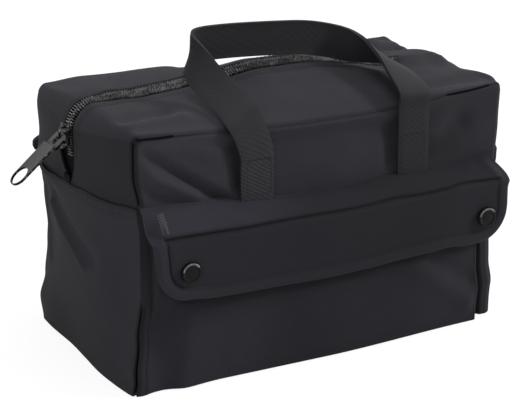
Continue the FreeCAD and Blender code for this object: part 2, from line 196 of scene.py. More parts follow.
bm = bmesh.new()
bmesh.ops.create_grid(bm, x_segments=1, y_segments=1, size=6.0)
mesh = bpy.data.meshes.new("floor")
bm.to_mesh(mesh)
bm.free()
mesh.materials.append(pale)
floor = bpy.data.objects.new("floor", mesh)
floor.location.z = -0.0006
scene.collection.objects.link(floor)
floor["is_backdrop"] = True
print("sky", world.name, "floor", floor.name)


# %% Lamps
def lamp(name, place, size, watts):
    """A square soft box, aimed at the middle of the bag."""
    light = bpy.data.lights.new(name, "AREA")
    light.size = size
    light.energy = watts
    box = bpy.data.objects.new(name, light)
    box.location = place
    turn = (Vector((0, 0, 0.1)) - Vector(place)).to_track_quat("-Z", "Y")
    box.rotation_euler = turn.to_euler()
    scene.collection.objects.link(box)


lamp("key_right", (1.75, -0.66, 1.14), 0.42, 36)
lamp("fill_left", (-1.5, -0.9, 0.9), 1.2, 10)
lamp("top", (0.1, 0.2, 1.9), 1.2, 17)
print("lamps", len(bpy.data.lights))


# %% [markdown]
# ## Canvas
# The bag is sewn from heavy black cotton canvas. Up close it is a plain weave of thick threads; from a
# step away it reads as a matt black with faint mottling, dust on the threads and a soft sheen at grazing
# angles. An image could give the weave, but wave textures on the cloth's own UV map follow each panel.
# An attribute named shade holds painted shade, along seams and under the flap, and painted light.

# %% Canvas finishes
def dyed(link, tone, light, shade):
    """The cloth's colour, from its dark threads to its light ones."""
    dark, light = (tuple(c * share for c in tone) + (1,) for share in (0.35, light))
    mix = {"data_type": "RGBA", "clamp_factor": False}
    return link.node("Mix", mix, {0: shade * 0.55, 6: dark, 7: light}, 2)


def fabric(link, colour, rough, bump, gloss, sheen, softness):
    """Cloth with a little sheen, as the material's surface."""
    surface(link, link.node("BsdfPrincipled", None, {
        "Base Color": colour, "Roughness": rough, "Normal": bump, "Specular IOR Level": gloss,
        "Sheen Weight": sheen, "Sheen Roughness": softness, "Sheen Tint": (0.75, 0.75, 0.8, 1)}))


def woven(name, tone, pitch, rough, relief, sheen, gloss=0.18):
    """Cloth whose threads run along its UV map: tone is its colour, pitch one thread in mm."""
    material, link = new_material(name)
    where = link.node("TexCoord", out="UV")
    warp, weft = (link.wave(where, way, pitch, Distortion=1.2, Detail=1.0) for way in "XY")
    over = link.node("TexChecker", None, {"Vector": where, "Scale": 0.5 / (pitch * MM)}, "Fac")
    thread = warp * over + weft * (1 - over)
    cloud, fluff = link.noise(where, 22.0, 4.0), link.noise(where, 900.0, 2.0)
    # The shade attribute is painted light and shade: above 0 it darkens the cloth, below 0 it lightens it.
    painted_light_shade_attr = link.node("Attribute", {"attribute_name": "shade"}, out="Fac")
    shade = (thread * 0.20 + 0.90) * (cloud * 0.5 + 0.75) * (fluff * 0.4 + 0.8) * (1 - painted_light_shade_attr * 0.9)
    height = {"Height": thread + fluff * 0.6, "Strength": relief, "Distance": 0.0004}
    bump = link.node("Bump", None, height)
    fabric(link, dyed(link, tone, 1.55, shade), rough + (fluff - 0.5) * 0.15, bump, gloss, sheen, 0.45)
    return material


canvas = woven("black_canvas", (0.0205, 0.0200, 0.0252), 0.65, 0.88, 0.40, 0.02)
# The pockets and flaps take a darker copy of the canvas: painted shade for their upright faces.
pocket_canvas = woven("pocket_canvas", (0.0126, 0.0120, 0.0164), 0.65, 0.88, 0.40, 0.02)
tape_cloth = woven("zip_tape_cloth", (0.0045, 0.0044, 0.0052), 0.5, 0.80, 0.30, 0.0, 0.04)
thread_black = woven("black_thread", (0.0085, 0.0083, 0.0098), 0.4, 0.62, 0.20, 0.02)
# A near-black thread for the seam cord, which paints the shade in the front edge seam.
seam_shadow_thread = woven("seam_shadow_thread", (0.0035, 0.0034, 0.0042), 0.4, 0.80, 0.20, 0.0, 0.03)
thread_grey = woven("grey_thread", (0.0175, 0.0171, 0.0205), 0.4, 0.62, 0.20, 0.02)
print("cloth finishes", canvas.name, pocket_canvas.name, tape_cloth.name, thread_black.name)


# %% [markdown]
# ## Webbing
# The handles are nylon webbing: flat, with slanted ribs and fine cords along it. Two waves on its UV map
# make both. The sewn legs are more rubbed than the band, so a ramp along the length lifts their ribs.

# %% Webbing finish
def ribbed(name, tone):
    """Ribbed webbing: U runs across it and V along it, in metres."""
    material, link = new_material(name)
    where = link.node("TexCoord", out="UV")
    rib = link.wave(where, "DIAGONAL", 2.4, Distortion=0.6, Detail=1.0)
    cord = link.wave(where, "X", 1.4, Distortion=0.4)
    fluff, cloud = link.noise(where, 700.0, 2.0), link.noise(where, 30.0, 3.0)
    thread = rib * 0.7 + cord * 0.3
    # The shade attribute is painted shade on the band and the right leg.
    painted_light_and_shade = link.node("Attribute", {"attribute_name": "shade"}, out="Fac")
    along = link.node("SeparateXYZ", None, {0: where}, "Y") * (1 / 0.424)
    legs = along.ramp(((0.09, 1), (0.21, 0), (0.79, 0), (0.90, 1)))
    rub = thread * (legs * 1.5 + 0.1) + (0.95 - legs * 0.75)
    shade = rub * (cloud * 0.5 + 0.75) * (fluff * 0.4 + 0.8) * (1 - painted_light_and_shade)
    height = {"Height": thread + fluff * 0.3, "Strength": 0.15, "Distance": 0.0005}
    bump = link.node("Bump", None, height)
    fabric(link, dyed(link, tone, 1.6, shade), 0.78 + (fluff - 0.5) * 0.2, bump, 0.2, 0.02, 0.4)
    return material


webbing = ribbed("black_webbing", (0.0190, 0.0186, 0.0225))
print("webbing", webbing.name)


# %% [markdown]
# ## Painted metal
# The slider, its tab, the teeth and the snaps are metal with a black or grey coat, which has rubbed to
# bare metal on the proud spots. Noise on Object coordinates breaks the gloss and speckles the wear.

# %% Metal finishes
def coated(name, coat, bare, wear, rough, grain, metal, gloss):
    """A coat over metal: wear is the share of it that is rubbed bare."""
    material, link = new_material(name)
    where = link.node("TexCoord", out="Object")
    speck, smear = link.noise(where, grain, 4.0), link.noise(where, grain * 0.2, 3.0)
    rubbed = (speck * 0.7 + smear * 0.3).ramp(((0.62 - wear * 0.5, 0), (0.72 - wear * 0.5, 1)))
    colour = link.node("Mix", {"data_type": "RGBA"}, {0: rubbed, 6: coat + (1,), 7: bare + (1,)}, 2)
    bump = link.node("Bump", None, {"Height": speck, "Strength": 0.12, "Distance": 0.0003})
    surface(link, link.node("BsdfPrincipled", None, {
        "Base Color": colour, "Metallic": rubbed * metal, "Roughness": rough + smear * 0.2 - 0.1,
        "Normal": bump, "Specular IOR Level": gloss}))
    return material


def grey(value, blue):
    """A grey with its own blue."""
    return value, value, blue


teeth_metal = coated("zip_teeth_metal", grey(0.05, 0.052), grey(0.26, 0.265), 0.32, 0.36, 750.0, 0.4, 0.08)
slider_metal = coated("slider_metal", grey(0.005, 0.006), grey(0.20, 0.205), 0.18, 0.28, 400.0, 0.6, 0.08)
tab_metal = coated("tab_metal", grey(0.05, 0.051), grey(0.075, 0.077), 0.15, 0.50, 420.0, 0.2, 0.25)
# A brighter metal for the painted highlight on the snap rims.
painted_highlight_metal = coated("painted_highlight_rim_metal", grey(0.10, 0.102), grey(0.20, 0.205), 0.20, 0.30, 600.0, 0.4, 0.20)
stop_metal = coated("zip_stop_metal", grey(0.004, 0.0045), grey(0.02, 0.021), 0.05, 0.7, 380.0, 0.1, 0.02)
snap_metal = coated("snap_metal", grey(0.005, 0.0056), grey(0.012, 0.013), 0.05, 0.24, 380.0, 0.1, 0.10)
print("metal finishes", teeth_metal.name, slider_metal.name, tab_metal.name, snap_metal.name)


# %% [markdown]
# ## The slack form
# CAD draws the bag taut. Real canvas with nothing in it settles: the front edge sags, the zip ridge drops
# towards the right, the front left corner pulls in at mid height and the base splays. One function moves
# any point of the taut drawing to where it lies, so that pieces that meet on the drawing still meet.

# %% Soft curves
def smooth(low, high, value):
    """0 up to low, 1 from high on, with an easy curve between."""
    t = min(1.0, max(0.0, (value - low) / (high - low)))
    return t * t * (3 - 2 * t)


def hump(value, middle, wide):
    """A soft hill of height 1."""
    return math.exp(-((value - middle) / wide) ** 2)


def straight(value, rows):
    """A straight line from row to row of (place, height)."""
    for (a, low), (b, high) in zip(rows, rows[1:]):
        if value <= b:
            return low + (high - low) * (value - a) / (b - a)
    return rows[-1][1]


def steps(value, rows):
    """A smooth line through (place, height) rows."""
    if value <= rows[0][0]:
        return rows[0][1]
    for (a, low), (b, high) in zip(rows, rows[1:]):
        if value <= b:
            return low + (high - low) * smooth(a, b, value)
    return rows[-1][1]


def fold(x, z, start, end, wide):
    """A hill along a line from start to end, which dies away at both ends."""
    line = Vector(end) - Vector(start)
    spot = Vector((x, z)) - Vector(start)
    t = spot.dot(line) / line.length_squared
    off = (spot - line * min(1, max(0, t))).length
    return math.exp(-(off / wide) ** 2)


def folds(x, z, rows):
    """Folds from rows of (height, start, end, wide), added up."""
    return sum(high * fold(x, z, start, end, wide) for high, start, end, wide in rows)


def ripple(p, scale, seed):
    """Soft noise, the same on every run."""
    return noise.noise(Vector((p[0] / scale + seed, p[1] / scale - seed, p[2] / scale + 2 * seed)))


print("half way up a smooth step:", smooth(0, 1, 0.5))

# %% Settling
HALF_DEPTH = 77.0
front_edge_rows = ((-144, 3.5), (-120, 3.2), (-76, 3.1), (-11, 1.8), (57, 1.1), (80, 1.6), (100, 2.8),
                   (125, 2.6), (144, 2.4))
back_edge_rows = ((-144, 1.0), (-110, 4.7), (-67, 5.3), (-30, 4.5), (0, 1.0), (34, -0.5), (80, -1.5),
                  (122, 1.8), (144, 0.5))
ridge_rows = ((-150, 0.0), (-128, -1.5), (-103, -4.5), (-80, -4.6), (-50, -3.6), (-10, 0.6), (30, 1.7),
              (60, -1.2), (91, -3.6), (120, -1.0), (150, 2.0))
front_left_rows = ((0, -6.5), (12, -4.5), (35, 0.5), (63, 4.0), (100, 4.0), (131, 3.0), (152, -0.8),
                   (179, -0.5))
back_left_rows = ((0, -4.6), (18, -6.6), (36, -2.0), (60, 0.6), (83, 2.2), (108, 1.0), (118, -2.0),
                  (128, -6.0), (146, -4.0), (165, -5.0), (178, -3.0))
front_right_rows = ((0, 2.0), (23, 1.0), (45, -3.6), (65, -4.2), (120, -1.0), (150, 1.0), (178, 2.2))
right_lump_rows = ((-77, 0), (-56, 3.0), (-40, -2.0), (0, 0.0), (21, 1.0), (36, -9.0), (52, -5.0),
                   (66, 0.0), (77, 0.0))
right_top_rows = ((-77, 0.0), (-70, -1.8), (-58, 0.0), (-46, 0.6), (-28, -1.3), (-8, -0.6), (10, 1.2),
                  (24, 0.4), (44, -0.6), (56, -1.4), (66, -2.2), (77, 0.0))


def quiet(z):
    """1 down the middle of the front left corner, where its seam doesn't show."""
    return smooth(57, 68, z) * smooth(131, 124, z)


def settle(p):
    """Moves a point of the taut drawing, in mm, to where the slack canvas lies."""
    x, y, z = p
    front, back = smooth(12, HALF_DEPTH, -y), smooth(12, HALF_DEPTH, y)
    left, right = smooth(0, 140, -x), smooth(0, 140, x)
    edge = front * steps(x, front_edge_rows) + back * steps(x, back_edge_rows)
    edge += (1 - front - back) * steps(x, ridge_rows)
    edge -= 4.2 * hump(y, 46, 22) * smooth(-54, -32, x) * smooth(2, -18, x)
    edge += 0.28 * y * hump(y, 0, 13) * smooth(-142, -122, x) * smooth(145, 125, x)
    edge += smooth(105, 140, x) * steps(y, right_top_rows)
    shift = left * (front * steps(z, front_left_rows) + back * steps(z, back_left_rows))
    shift += right * (front * steps(z, front_right_rows) + steps(y, right_lump_rows) * smooth(120, 178, z))
    splay = 6.0 * (smooth(0, 142, x) - 1.25 * smooth(-80, -143, x))
    splay += 3.0 * hump(x, -119, 9) - 2.5 * hump(x, -139, 8)
    return Vector((x + shift, y + front * smooth(45, 0, z) * splay, z + smooth(118, 176, z) * edge))


print("front edge sags to", round(settle((25, -HALF_DEPTH, 178)).z, 1), "mm")


# %% [markdown]
# ## Making a piece
# Every cloth piece starts as a flat grid with a UV map in metres, is moved into place point by point, and
# gets its thickness from a Solidify modifier. A cloth simulation could drape it, but the folds of the
# photograph are known, so they are sculpted in the same moves.

# %% Pieces
def piece(name, bm, finish, stands_for=(), body=None):
    """Turns a bmesh in mm into an object in metres, with its finish and its place in the frame."""
    bm.transform(Matrix.Scale(MM, 4))
    for face in bm.faces:
        face.smooth = True
    mesh = bpy.data.meshes.new(name)
    bm.to_mesh(mesh)
    bm.free()
    mesh.materials.append(finish)
    made = bpy.data.objects.new(name, mesh)
    scene.collection.objects.link(made)
    if stands_for:
        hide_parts(*stands_for)
    if body:
        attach(made, body)
    return made


def spread(t, ease):
    """Draws grid lines towards both ends of their row."""
    return t - ease * math.sin(2 * math.pi * t) / (2 * math.pi)


def no_shade(u, w):
    """Even cloth."""
    return 0.0


def cloth(name, grid, place, cut, finish, stands_for, body=None, thick=1.5,
          shade=no_shade, ease=0.0):
    """A grid moved into place; cut is its flat width and length in mm; shade paints light and shade on it.
    """
    bm = bmesh.new()
    bmesh.ops.create_grid(bm, x_segments=grid[0], y_segments=grid[1], size=0.5)
    for vert in bm.verts:
        vert.co.x = spread(vert.co.x + 0.5, ease) - 0.5
        vert.co.y = spread(vert.co.y + 0.5, ease) - 0.5
    uv = bm.loops.layers.uv.new("cloth")
    for face in bm.faces:
        for loop in face.loops:
            spot = loop.vert.co
            loop[uv].uv = ((spot.x + 0.5) * cut[0] * MM, (spot.y + 0.5) * cut[1] * MM)
    # This layer holds the painted light and shade, along the seams and elsewhere.
    seam = bm.verts.layers.float.new("shade")
    for vert in bm.verts:
        u, w = vert.co.x + 0.5, vert.co.y + 0.5
        vert[seam] = shade(u, w)
        vert.co = place(u, w)
    for edge in bm.edges:
        edge.smooth = not edge.is_boundary
    made = piece(name, bm, finish, stands_for, body)
    wall = made.modifiers.new("thickness", "SOLIDIFY")
    wall.thickness = thick * MM
    wall.offset = -1.0
    print(name, len(made.data.polygons), "faces")
    return made


print("five grid lines at", [round(spread(i / 4, 0.6), 2) for i in range(5)])

# %% [markdown]
# ## Front and back panels
# Each is one panel of canvas from the floor to the top edge seam, with rounded upper corners. The front
# one leans in between its handles, and a deep dent runs from its upper left corner down to the flap.

# %% Panel forms
EDGE_ROUND, EDGE_HIGH, EDGE_SAG = 5.0, 176.9, 6.5
PANEL_HALF = 143.6
PANEL_OUT = 78.5
LEGS = (-52.0, 71.0)
corner_folds = ((3.5, (-138, 154), (-102, 133), 5), (-2.5, (-136, 137), (-118, 131), 6))
front_folds = ((2.0, (-128, 173), (-86, 160), 8), (2.2, (90, 173), (128, 178), 5),
               (1.6, (100, 168), (92, 150), 8), (-3.0, (84, 138), (110, 152), 9))


def panel_top(x):
    """Height of the panel's edge, which sags between its corners."""
    past = max(0.0, abs(x) - PANEL_HALF + EDGE_ROUND)
    drop = EDGE_ROUND - math.sqrt(max(0.0, EDGE_ROUND ** 2 - past * past))
    return EDGE_HIGH - EDGE_SAG * max(0.0, 1 - (x / 139.0) ** 2) - drop


def beside_legs(x, z, wide, second):
    """A hill on the left of each handle leg; second is the height of the right one."""
    return hump(x, -66 - 8 * smooth(150, 178, z), wide) + second * hump(x, 56, wide)


def front_skin(x, z):
    """How far the front panel stands out from the taut drawing, in mm."""
    out = -5.5 * hump(x, 15, 70) * smooth(140, 178, z)
    dent = -6.0 * fold(x, z, (-138, 166), (-74, 122), 3.8) * (0.35 + 0.65 * smooth(-132, -100, x))
    out += dent * smooth(118, 125, z) + folds(x, z, corner_folds) * smooth(126, 136, z)
    out += folds(x, z, front_folds)
    free = (1 - hump(x, LEGS[0], 15)) * (1 - hump(x, LEGS[1], 15))
    out += (1.6 * ripple((x, 0, z), 46, 3.1) + 0.5 * ripple((x, 0, z), 19, 7.7)) * free
    out -= 4.0 * beside_legs(x, z, 7, 0.75) * smooth(126, 136, z) * smooth(174, 160, z)
    out *= (0.1 + 0.9 * smooth(95, 122, z)) * smooth(2, 14, panel_top(x) - z) * smooth(143, 130, abs(x))
    return out - 2.8 * hump(x, 133.4, 1.3) * smooth(108, 100, z)


def back_skin(x, z):
    """The same for the back panel."""
    out = 1.8 * ripple((x, 9, z), 52, 5.3) + 0.6 * ripple((x, 4, z), 21, 1.7)
    out += -3.5 * hump(x, -20, 80) * smooth(130, 178, z)
    return out * smooth(2, 14, panel_top(x) - z) * smooth(143, 130, abs(x))


print("front panel leans in by", round(-front_skin(10, 160), 1), "mm")


# %% Panels
def panel_place(side, skin):
    """A panel's grid on the front, side -1, or the back, side 1."""
    def place(u, w):
        x = -side * (2 * u - 1) * PANEL_HALF
        z = w * panel_top(x)
        corner = smooth(-80, -130, x) if side < 0 else 0.0
        seam = 1 - smooth(0, 3, PANEL_HALF - abs(x))
        dip = 1.6 + 1.2 * corner + 1.2 * corner * smooth(-118, -136, x)
        dip = max(dip * (1 - smooth(0, 3, panel_top(x) - z)), 1.6 * seam * (1 - 0.9 * corner))
        x -= 1.7 * quiet(z) * seam * corner
        return settle((x, side * (PANEL_OUT - dip + skin(x, z)), z))
    return place


def panel_shade(u, w):
    """Painted shade at the left and top seams, by the pocket and the legs; the right corner has no seam to
    see.
    """
    x = (2 * u - 1) * PANEL_HALF
    z = w * panel_top(x)
    below = panel_top(x) - z
    ends = smooth(-90, -130, x)
    side = max((1 - smooth(1.6, 4.0, PANEL_HALF + x)) * (1 - quiet(z)),
               0.95 * hump(x, 133.6, 1.2) * smooth(108, 100, z), 0.3 * smooth(120, 100, z),
               0.95 * (1 - smooth(3.0, 6.5, math.hypot(x + PANEL_HALF - 2, below))))
    top = 1 - smooth(0.6 + 0.8 * ends, 2.0 + 1.4 * ends, below)
    top *= 0.5 + 0.5 * ends + 0.4 * hump(x, 112, 24)
    # Painted shadow beside the legs and above the flap's right part; painted shade on the right, painted
    # light on the upper left.
    painted_light_and_shade = 0.4 * beside_legs(x, z, 5, 0.6) * smooth(122, 132, z) * smooth(180, 172, z)
    painted_light_and_shade += 0.24 * smooth(70, 110, x) - 0.42 * smooth(-70, -92, x) * smooth(128, 136, z)
    painted_light_and_shade += 0.3 * smooth(150, 136, z) * smooth(126, 134, z) * hump(x, 92, 22)
    return painted_light_and_shade + (1 - painted_light_and_shade) * max(side, top)


for (side, word), grid, skin in zip(SIDES, ((150, 100), (130, 90)), (front_skin, back_skin)):
    cloth(word + "_panel_canvas", grid, panel_place(side, skin), (285, 175), canvas, (word + "_panel",),
          "bag", shade=panel_shade, ease=0.65)


# %% [markdown]
# ## The zip gusset
# Two long strips cross the top on either side of the zip and fold down over the ends, where the end
# panels lap over them. Each is made in a left and a right half, from a sewn end, which stays with the
# bag, to the mouth, which swings open.

# %% Gusset path
GUSSET_FOOT, CORNER_HIGH, RIDGE_BEND = 118.0, 178.0, 23.0
GUSSET_REACH, RIDGE_OUT, LEFT_RISE, CROWN_RISE = 144.0, 13.5, 9.0, 16.0
path_marks = ((0.0, 0.0), (0.11, 1.0), (0.19, 2.0), (0.81, 3.0), (0.89, 4.0), (1.0, 5.0))


def taut_path(share, skin, q):
    """A point of the gusset line: share 1 is the edge seam and 0 the ridge; q runs over it, 0 to 5."""
    share = min(1.0, max(0.0, share))
    reach = GUSSET_REACH + RIDGE_OUT * (1 - share ** 2) - skin
    bend = RIDGE_BEND - (RIDGE_BEND - EDGE_ROUND) * share - skin
    fall = 1 - share ** 1.5
    left = CORNER_HIGH + LEFT_RISE * fall - skin
    right = CORNER_HIGH - skin
    crown = CORNER_HIGH + CROWN_RISE * fall - EDGE_SAG * share ** 2 - skin
    flat = reach - bend
    turn = (q - 1) % 2 * math.pi / 2
    if q <= 1:
        return -reach, GUSSET_FOOT + (left - bend - GUSSET_FOOT) * q
    if q <= 2:
        return -flat - bend * math.cos(turn), left - bend + bend * math.sin(turn)
    if q <= 3:
        t = q - 2
        pole = 2 * crown - (left + right) / 2
        return flat * (2 * t - 1), left * (1 - t) ** 2 + 2 * pole * t * (1 - t) + right * t * t
    if q <= 4:
        return flat + bend * math.sin(turn), right - bend + bend * math.cos(turn)
    return reach, right - bend + (GUSSET_FOOT - right + bend) * (q - 4)


def path_at(u):
    """The part of the path, 0 to 5, at a share of its length."""
    return straight(u, path_marks)


print("taut ridge at", taut_path(0, 0, 2.5)[1], "mm")

# %% Gusset form
lap_rows = ((-77, 129.5), (-50, 128.3), (-25, 129.6), (0, 128.6), (20, 127.5), (40, 127.0), (58, 128.0),
            (77, 129.0))
top_folds = ((2.5, (-135, -62), (-98, -56), 7), (-2.5, (-140, -50), (-105, -44), 7),
             (3.0, (70, 66), (120, 62), 8), (-6.0, (95, 46), (145, 44), 9),
             (-3.0, (88, -60), (138, -58), 8), (2.0, (60, -30), (130, -28), 12))


def slit(side, z, x):
    """How far each half of the zip parts between the slider and the lap; the back one hangs away."""
    if x > -140:
        return 0.0
    wide = 1.0 if side < 0 else 10.0
    return wide * min(1.0, max(0.0, (z - 128) / 22)) * (1 - smooth(151, 161, z))


def lap_height(y):
    """The wavy upper edge of the left end panel."""
    return steps(y, lap_rows) + 0.8 * ripple((y, 3, 0), 14, 2.9)


def top_skin(x, y):
    """Wrinkles across the top, in mm, and the hem that puffs up at the right end of the zip."""
    out = 1.5 * ripple((x, y, 0), 50, 2.3) + 0.5 * ripple((x, y, 0), 20, 9.1) + folds(x, y, top_folds)
    out *= smooth(0, 14, HALF_DEPTH - abs(y)) * smooth(5, 20, abs(y))
    return out + 9.0 * fold(x, y, (101, -13), (133, -13), 8.5)


def gusset_point(side, u, y, skin=0.0):
    """A point of the settled gusset, at a share of its length and a distance from the zip line."""
    x, z = taut_path(abs(y) / HALF_DEPTH, skin, path_at(u))
    flat = smooth(1.6, 2.1, path_at(u)) * (1 - smooth(2.9, 3.4, path_at(u)))
    dip = (1.2 + 1.6 * smooth(-108, -132, x) * (side < 0)) * smooth(74.5, HALF_DEPTH, abs(y))
    z += flat * (top_skin(x, side * abs(y)) - dip)
    x -= math.copysign(dip * (1 - flat), x)
    part = slit(side, z, x) * (1 - smooth(6, 40, abs(y)))
    return settle((x, side * (abs(y) + part), z))


print("ridge settles to", round(gusset_point(-1, 0.5, 0.0).z, 1), "mm")

# %% Gusset halves
SEWN_END, FREE_MOUTH = 0.122, 0.03
HEM_RISE = 0.6


def follow_mouth(made, word, end):
    """Bakes a piece's transform into its mesh; end is -1 for the left end of the bag or 1 for the right."""
    SEWN_END * end
    FREE_MOUTH * end
    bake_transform(made)


def gusset_half(side, u0, end):
    """The grid and the shade of half a strip, from its edge seam to the fold beside the teeth."""
    def spot(u, w):
        along = u0 + 0.5 * (u if side < 0 else 1 - u)
        low = GUSSET_FOOT + 46.0 * min(1.0, along / 0.11) if end < 0 else 170.0
        near = 7.4 - 6.4 * (1 - smooth(127, 142, low))
        return along, HALF_DEPTH + (near - HALF_DEPTH) * w

    def place(u, w):
        along, y = spot(u, w)
        hem = HEM_RISE * smooth(16, 14.5, y)
        return gusset_point(side, along, y) + Vector((0, 0, hem))

    def shade(u, w):
        # Painted shade along the edge seam, over the end, just above the lap and at the hem's fold; painted
        # light on the top's front left.
        along, y = spot(u, w)
        seam = HALF_DEPTH - y
        dark = (1 - smooth(0.6, 2.0, seam)) * (0.25 if along > 0.75 else 0.7)
        if along < 0.13 and side < 0:
            dark = 1 - smooth(0.8, 3.2, seam)
        if along < 0.12:
            z = taut_path(y / HALF_DEPTH, 0.0, path_at(along))[1]
            dark = max(dark, 0.55, 1 - smooth(0.4, 2.6, z - lap_height(side * y)))
        bright = 0.25 * smooth(0.14, 0.2, along) * smooth(0.5, 0.36, along) * smooth(30, 50, y)
        return max(dark, 0.15 * hump(y, 15.0, 0.9)) - bright * (side < 0)

    return place, shade


HALVES = (("left", -1, 0.0), ("right", 1, 0.5))
for side, word in SIDES:
    for half, end, u0 in HALVES:
        place, shade = gusset_half(side, u0, end)
        nodes = (word + "_" + half + "_gusset_end", word + "_top_strip", word + "_top_edge_seam")
        made = cloth(word + "_gusset_" + half, (110, 64), place, (210, 76), canvas, nodes, shade=shade,
                     ease=0.6)
        follow_mouth(made, word, end)

# %% [markdown]
# ## End panels and base
# The lower ends swell outwards and lap over the gusset with a turned edge. A long crease crosses the left
# one. The base is a doubled sheet that the ends wrap round.

# %% End forms
END_OUT, END_BOW, RIGHT_LAP = 145.65, 6.5, 131.0
BASE_HALF, BASE_HALF_DEPTH, BASE_HIGH = 143.5, 76.5, 0.3
end_folds = {-1: ((2.6, (36, 104), (-15, 72), 2.6), (-2.2, (30, 112), (-26, 80), 7),
                  (2.0, (62, 110), (58, 55), 6)),
             1: ((2.5, (-40, 100), (10, 60), 8), (-2.5, (30, 110), (20, 50), 10))}


def bowed(y, deep):
    """An end's bow, which is deepest half way between front and back."""
    return deep * (1 - (y / HALF_DEPTH) ** 2)


def end_spot(side, u, w):
    """Depth and height on an end panel's grid."""
    y = side * (2 * u - 1) * HALF_DEPTH
    return y, w * (lap_height(y) if side < 0 else RIGHT_LAP)


def end_place(side):
    """The grid of the left, side -1, or right, side 1, end panel."""
    def place(u, w):
        y, z = end_spot(side, u, w)
        top = end_spot(side, u, 1.0)[1]
        x = END_OUT + bowed(y, END_BOW + 7.0 * min(1.0, z / 115.0))
        skin = 1.3 * ripple((y, z, side), 48, 4.4) + 0.4 * ripple((y, z, side), 20, 8.2)
        skin += folds(y, z, end_folds[side])
        if side < 0:
            x += 3.0 * hump(y, -30, 28) * smooth(60, 0, z)
            skin += 2.6 * hump(y, 38, 16) * smooth(top - 16, top, z)
        skin *= smooth(0, 12, z) * smooth(HALF_DEPTH, 62, abs(y))
        skin += 0.6 * smooth(top - 14, top - 9, z) - 1.2 * smooth(top - 2.2, top, z)
        seam = 1 - smooth(0, 3, HALF_DEPTH - abs(y))
        if side < 0 and y < 0:
            y -= 1.2 * quiet(z) * seam
            seam *= 0.15
        return settle((side * (x + skin - 2.0 * seam), y, z))
    return place


print("left end swells to", round(-end_place(-1)(0.5, 0.5).x, 1), "mm")


# %% Ends and base
def end_shade(side):
    """Painted shade along the seams; high up on the left end's back one it is broader."""
    def shade(u, w):
        y, z = end_spot(side, u, w)
        seam = HALF_DEPTH - abs(y)
        if side < 0 < y:
            return (1 - smooth(1.5, 5.0, seam)) * smooth(70, 84, z)
        return (1 - smooth(0.6, 2.0, seam)) * (1 - quiet(z)) * (1.0 if side < 0 else 0.5)
    return shade


def base_place(u, w):
    """The base, which splays as the ends do."""
    y = (1 - 2 * w) * BASE_HALF_DEPTH
    half = BASE_HALF + bowed(y, END_BOW) + (3.0 * hump(y, -30, 28) if u < 0.5 else 0.0)
    return settle(((2 * u - 1) * half, y, BASE_HIGH))


for side, word, tall in ((-1, "left", 130), (1, "right", 132)):
    cloth(word + "_end_canvas", (100, 80), end_place(side), (156, tall), canvas,
          (word + "_end_panel",), "bag", shade=end_shade(side), ease=0.6)
cloth("base_canvas", (60, 32), base_place, (310, 154), canvas, ("bottom_panel",), "bag", thick=2.0)


# %% [markdown]
# ## Pockets
# A flat patch pocket covers the lower front and the lower back. It is sewn down its sides and foot, so it
# stands off like a shallow box with soft corners, and its face is slack. The cloth under the flap and just
# below its foot is darkened as the flap's painted shadow.

# %% Pocket form
POCKET_FOOT, POCKET_TALL = 0.3, 107.8
pocket_folds = ((2.0, (70, 62), (118, 18), 9), (-1.8, (88, 60), (120, 36), 8))


def pocket_line(s):
    """Plan of the pocket from one side seam to the other: x and the distance from the panel."""
    deep, wide, bend = 9.5, 134.0, 3.0
    side = deep - bend
    curve = bend * math.pi / 2
    face = 2 * (wide - bend)
    d = s * (2 * side + 2 * curve + face)
    if d < side:
        return -wide, d
    if d < side + curve:
        a = (d - side) / bend
        return -wide + bend - bend * math.cos(a), side + bend * math.sin(a)
    if d < side + curve + face:
        return -wide + bend + d - side - curve, deep
    x, out = pocket_line(1 - s)
    return -x, out


def pocket_place(side, seed):
    """A pocket's grid; the front pocket sits a little towards -X."""
    def place(u, w):
        x, out = pocket_line(u)
        x = -side * x * 0.988 + (-4.8 if side < 0 else 0.0)
        z = POCKET_FOOT + w * POCKET_TALL
        slack = 1.4 * ripple((x, seed, z), 55, seed) + 0.4 * ripple((x, seed, z), 20, seed + 2)
        slack += 1.5 * hump(x, 0, 110) * smooth(108, 60, z) + folds(x, z, pocket_folds)
        slack *= smooth(2.5, 9.5, out) * smooth(134, 118, abs(x)) * smooth(0, 10, z)
        flatter = 1 - 0.22 * smooth(-10, 120, x) * smooth(60, 5, z)
        flatter -= 0.95 * smooth(-108, -136, x) * smooth(74, 46, z)
        return settle((x, side * (PANEL_OUT + out * flatter + slack), z))
    return place


print("pocket stands off by", pocket_line(0.5)[1], "mm")

# %% Pockets
FLAP_FOOT = 66.0
foot_rows = ((-137, 0.0), (-112, 0.8), (-90, 2.8), (-60, 3.2), (0, 4.0), (30, 3.0), (55, 1.0), (79, 0.0),
             (94, -1.2), (112, 0.3), (147, 0.0))


def pocket_shade(u, w):
    """Painted shade at one end's seam and a little where the other meets the panel; a painted shadow under
    the flap's foot.
    """
    x, out = pocket_line(u)
    z = POCKET_FOOT + w * POCKET_TALL
    foot = FLAP_FOOT - steps(x, foot_rows)
    under = smooth(foot - 7.0, foot - 3.5, z) * smooth(foot + 38, foot + 4, z) * smooth(125, 112, abs(x))
    # Painted shade in the middle and painted light towards both ends, then the flap's painted shadow.
    painted_light_and_shade = 0.18 * hump(x, 0, 60) - 0.3 * smooth(70, 110, x)
    painted_light_and_shade -= 0.7 * smooth(-20, -70, x) * smooth(60, 35, w * 108)
    painted_light_and_shade += (1 - painted_light_and_shade) * 0.9 * under
    if x > 0:
        return painted_light_and_shade + (1 - painted_light_and_shade) * smooth(130.0, 131.4, x)
    return painted_light_and_shade + (1 - smooth(1.0, 4.0, out)) * 0.5 * smooth(50, 70, w * 108)


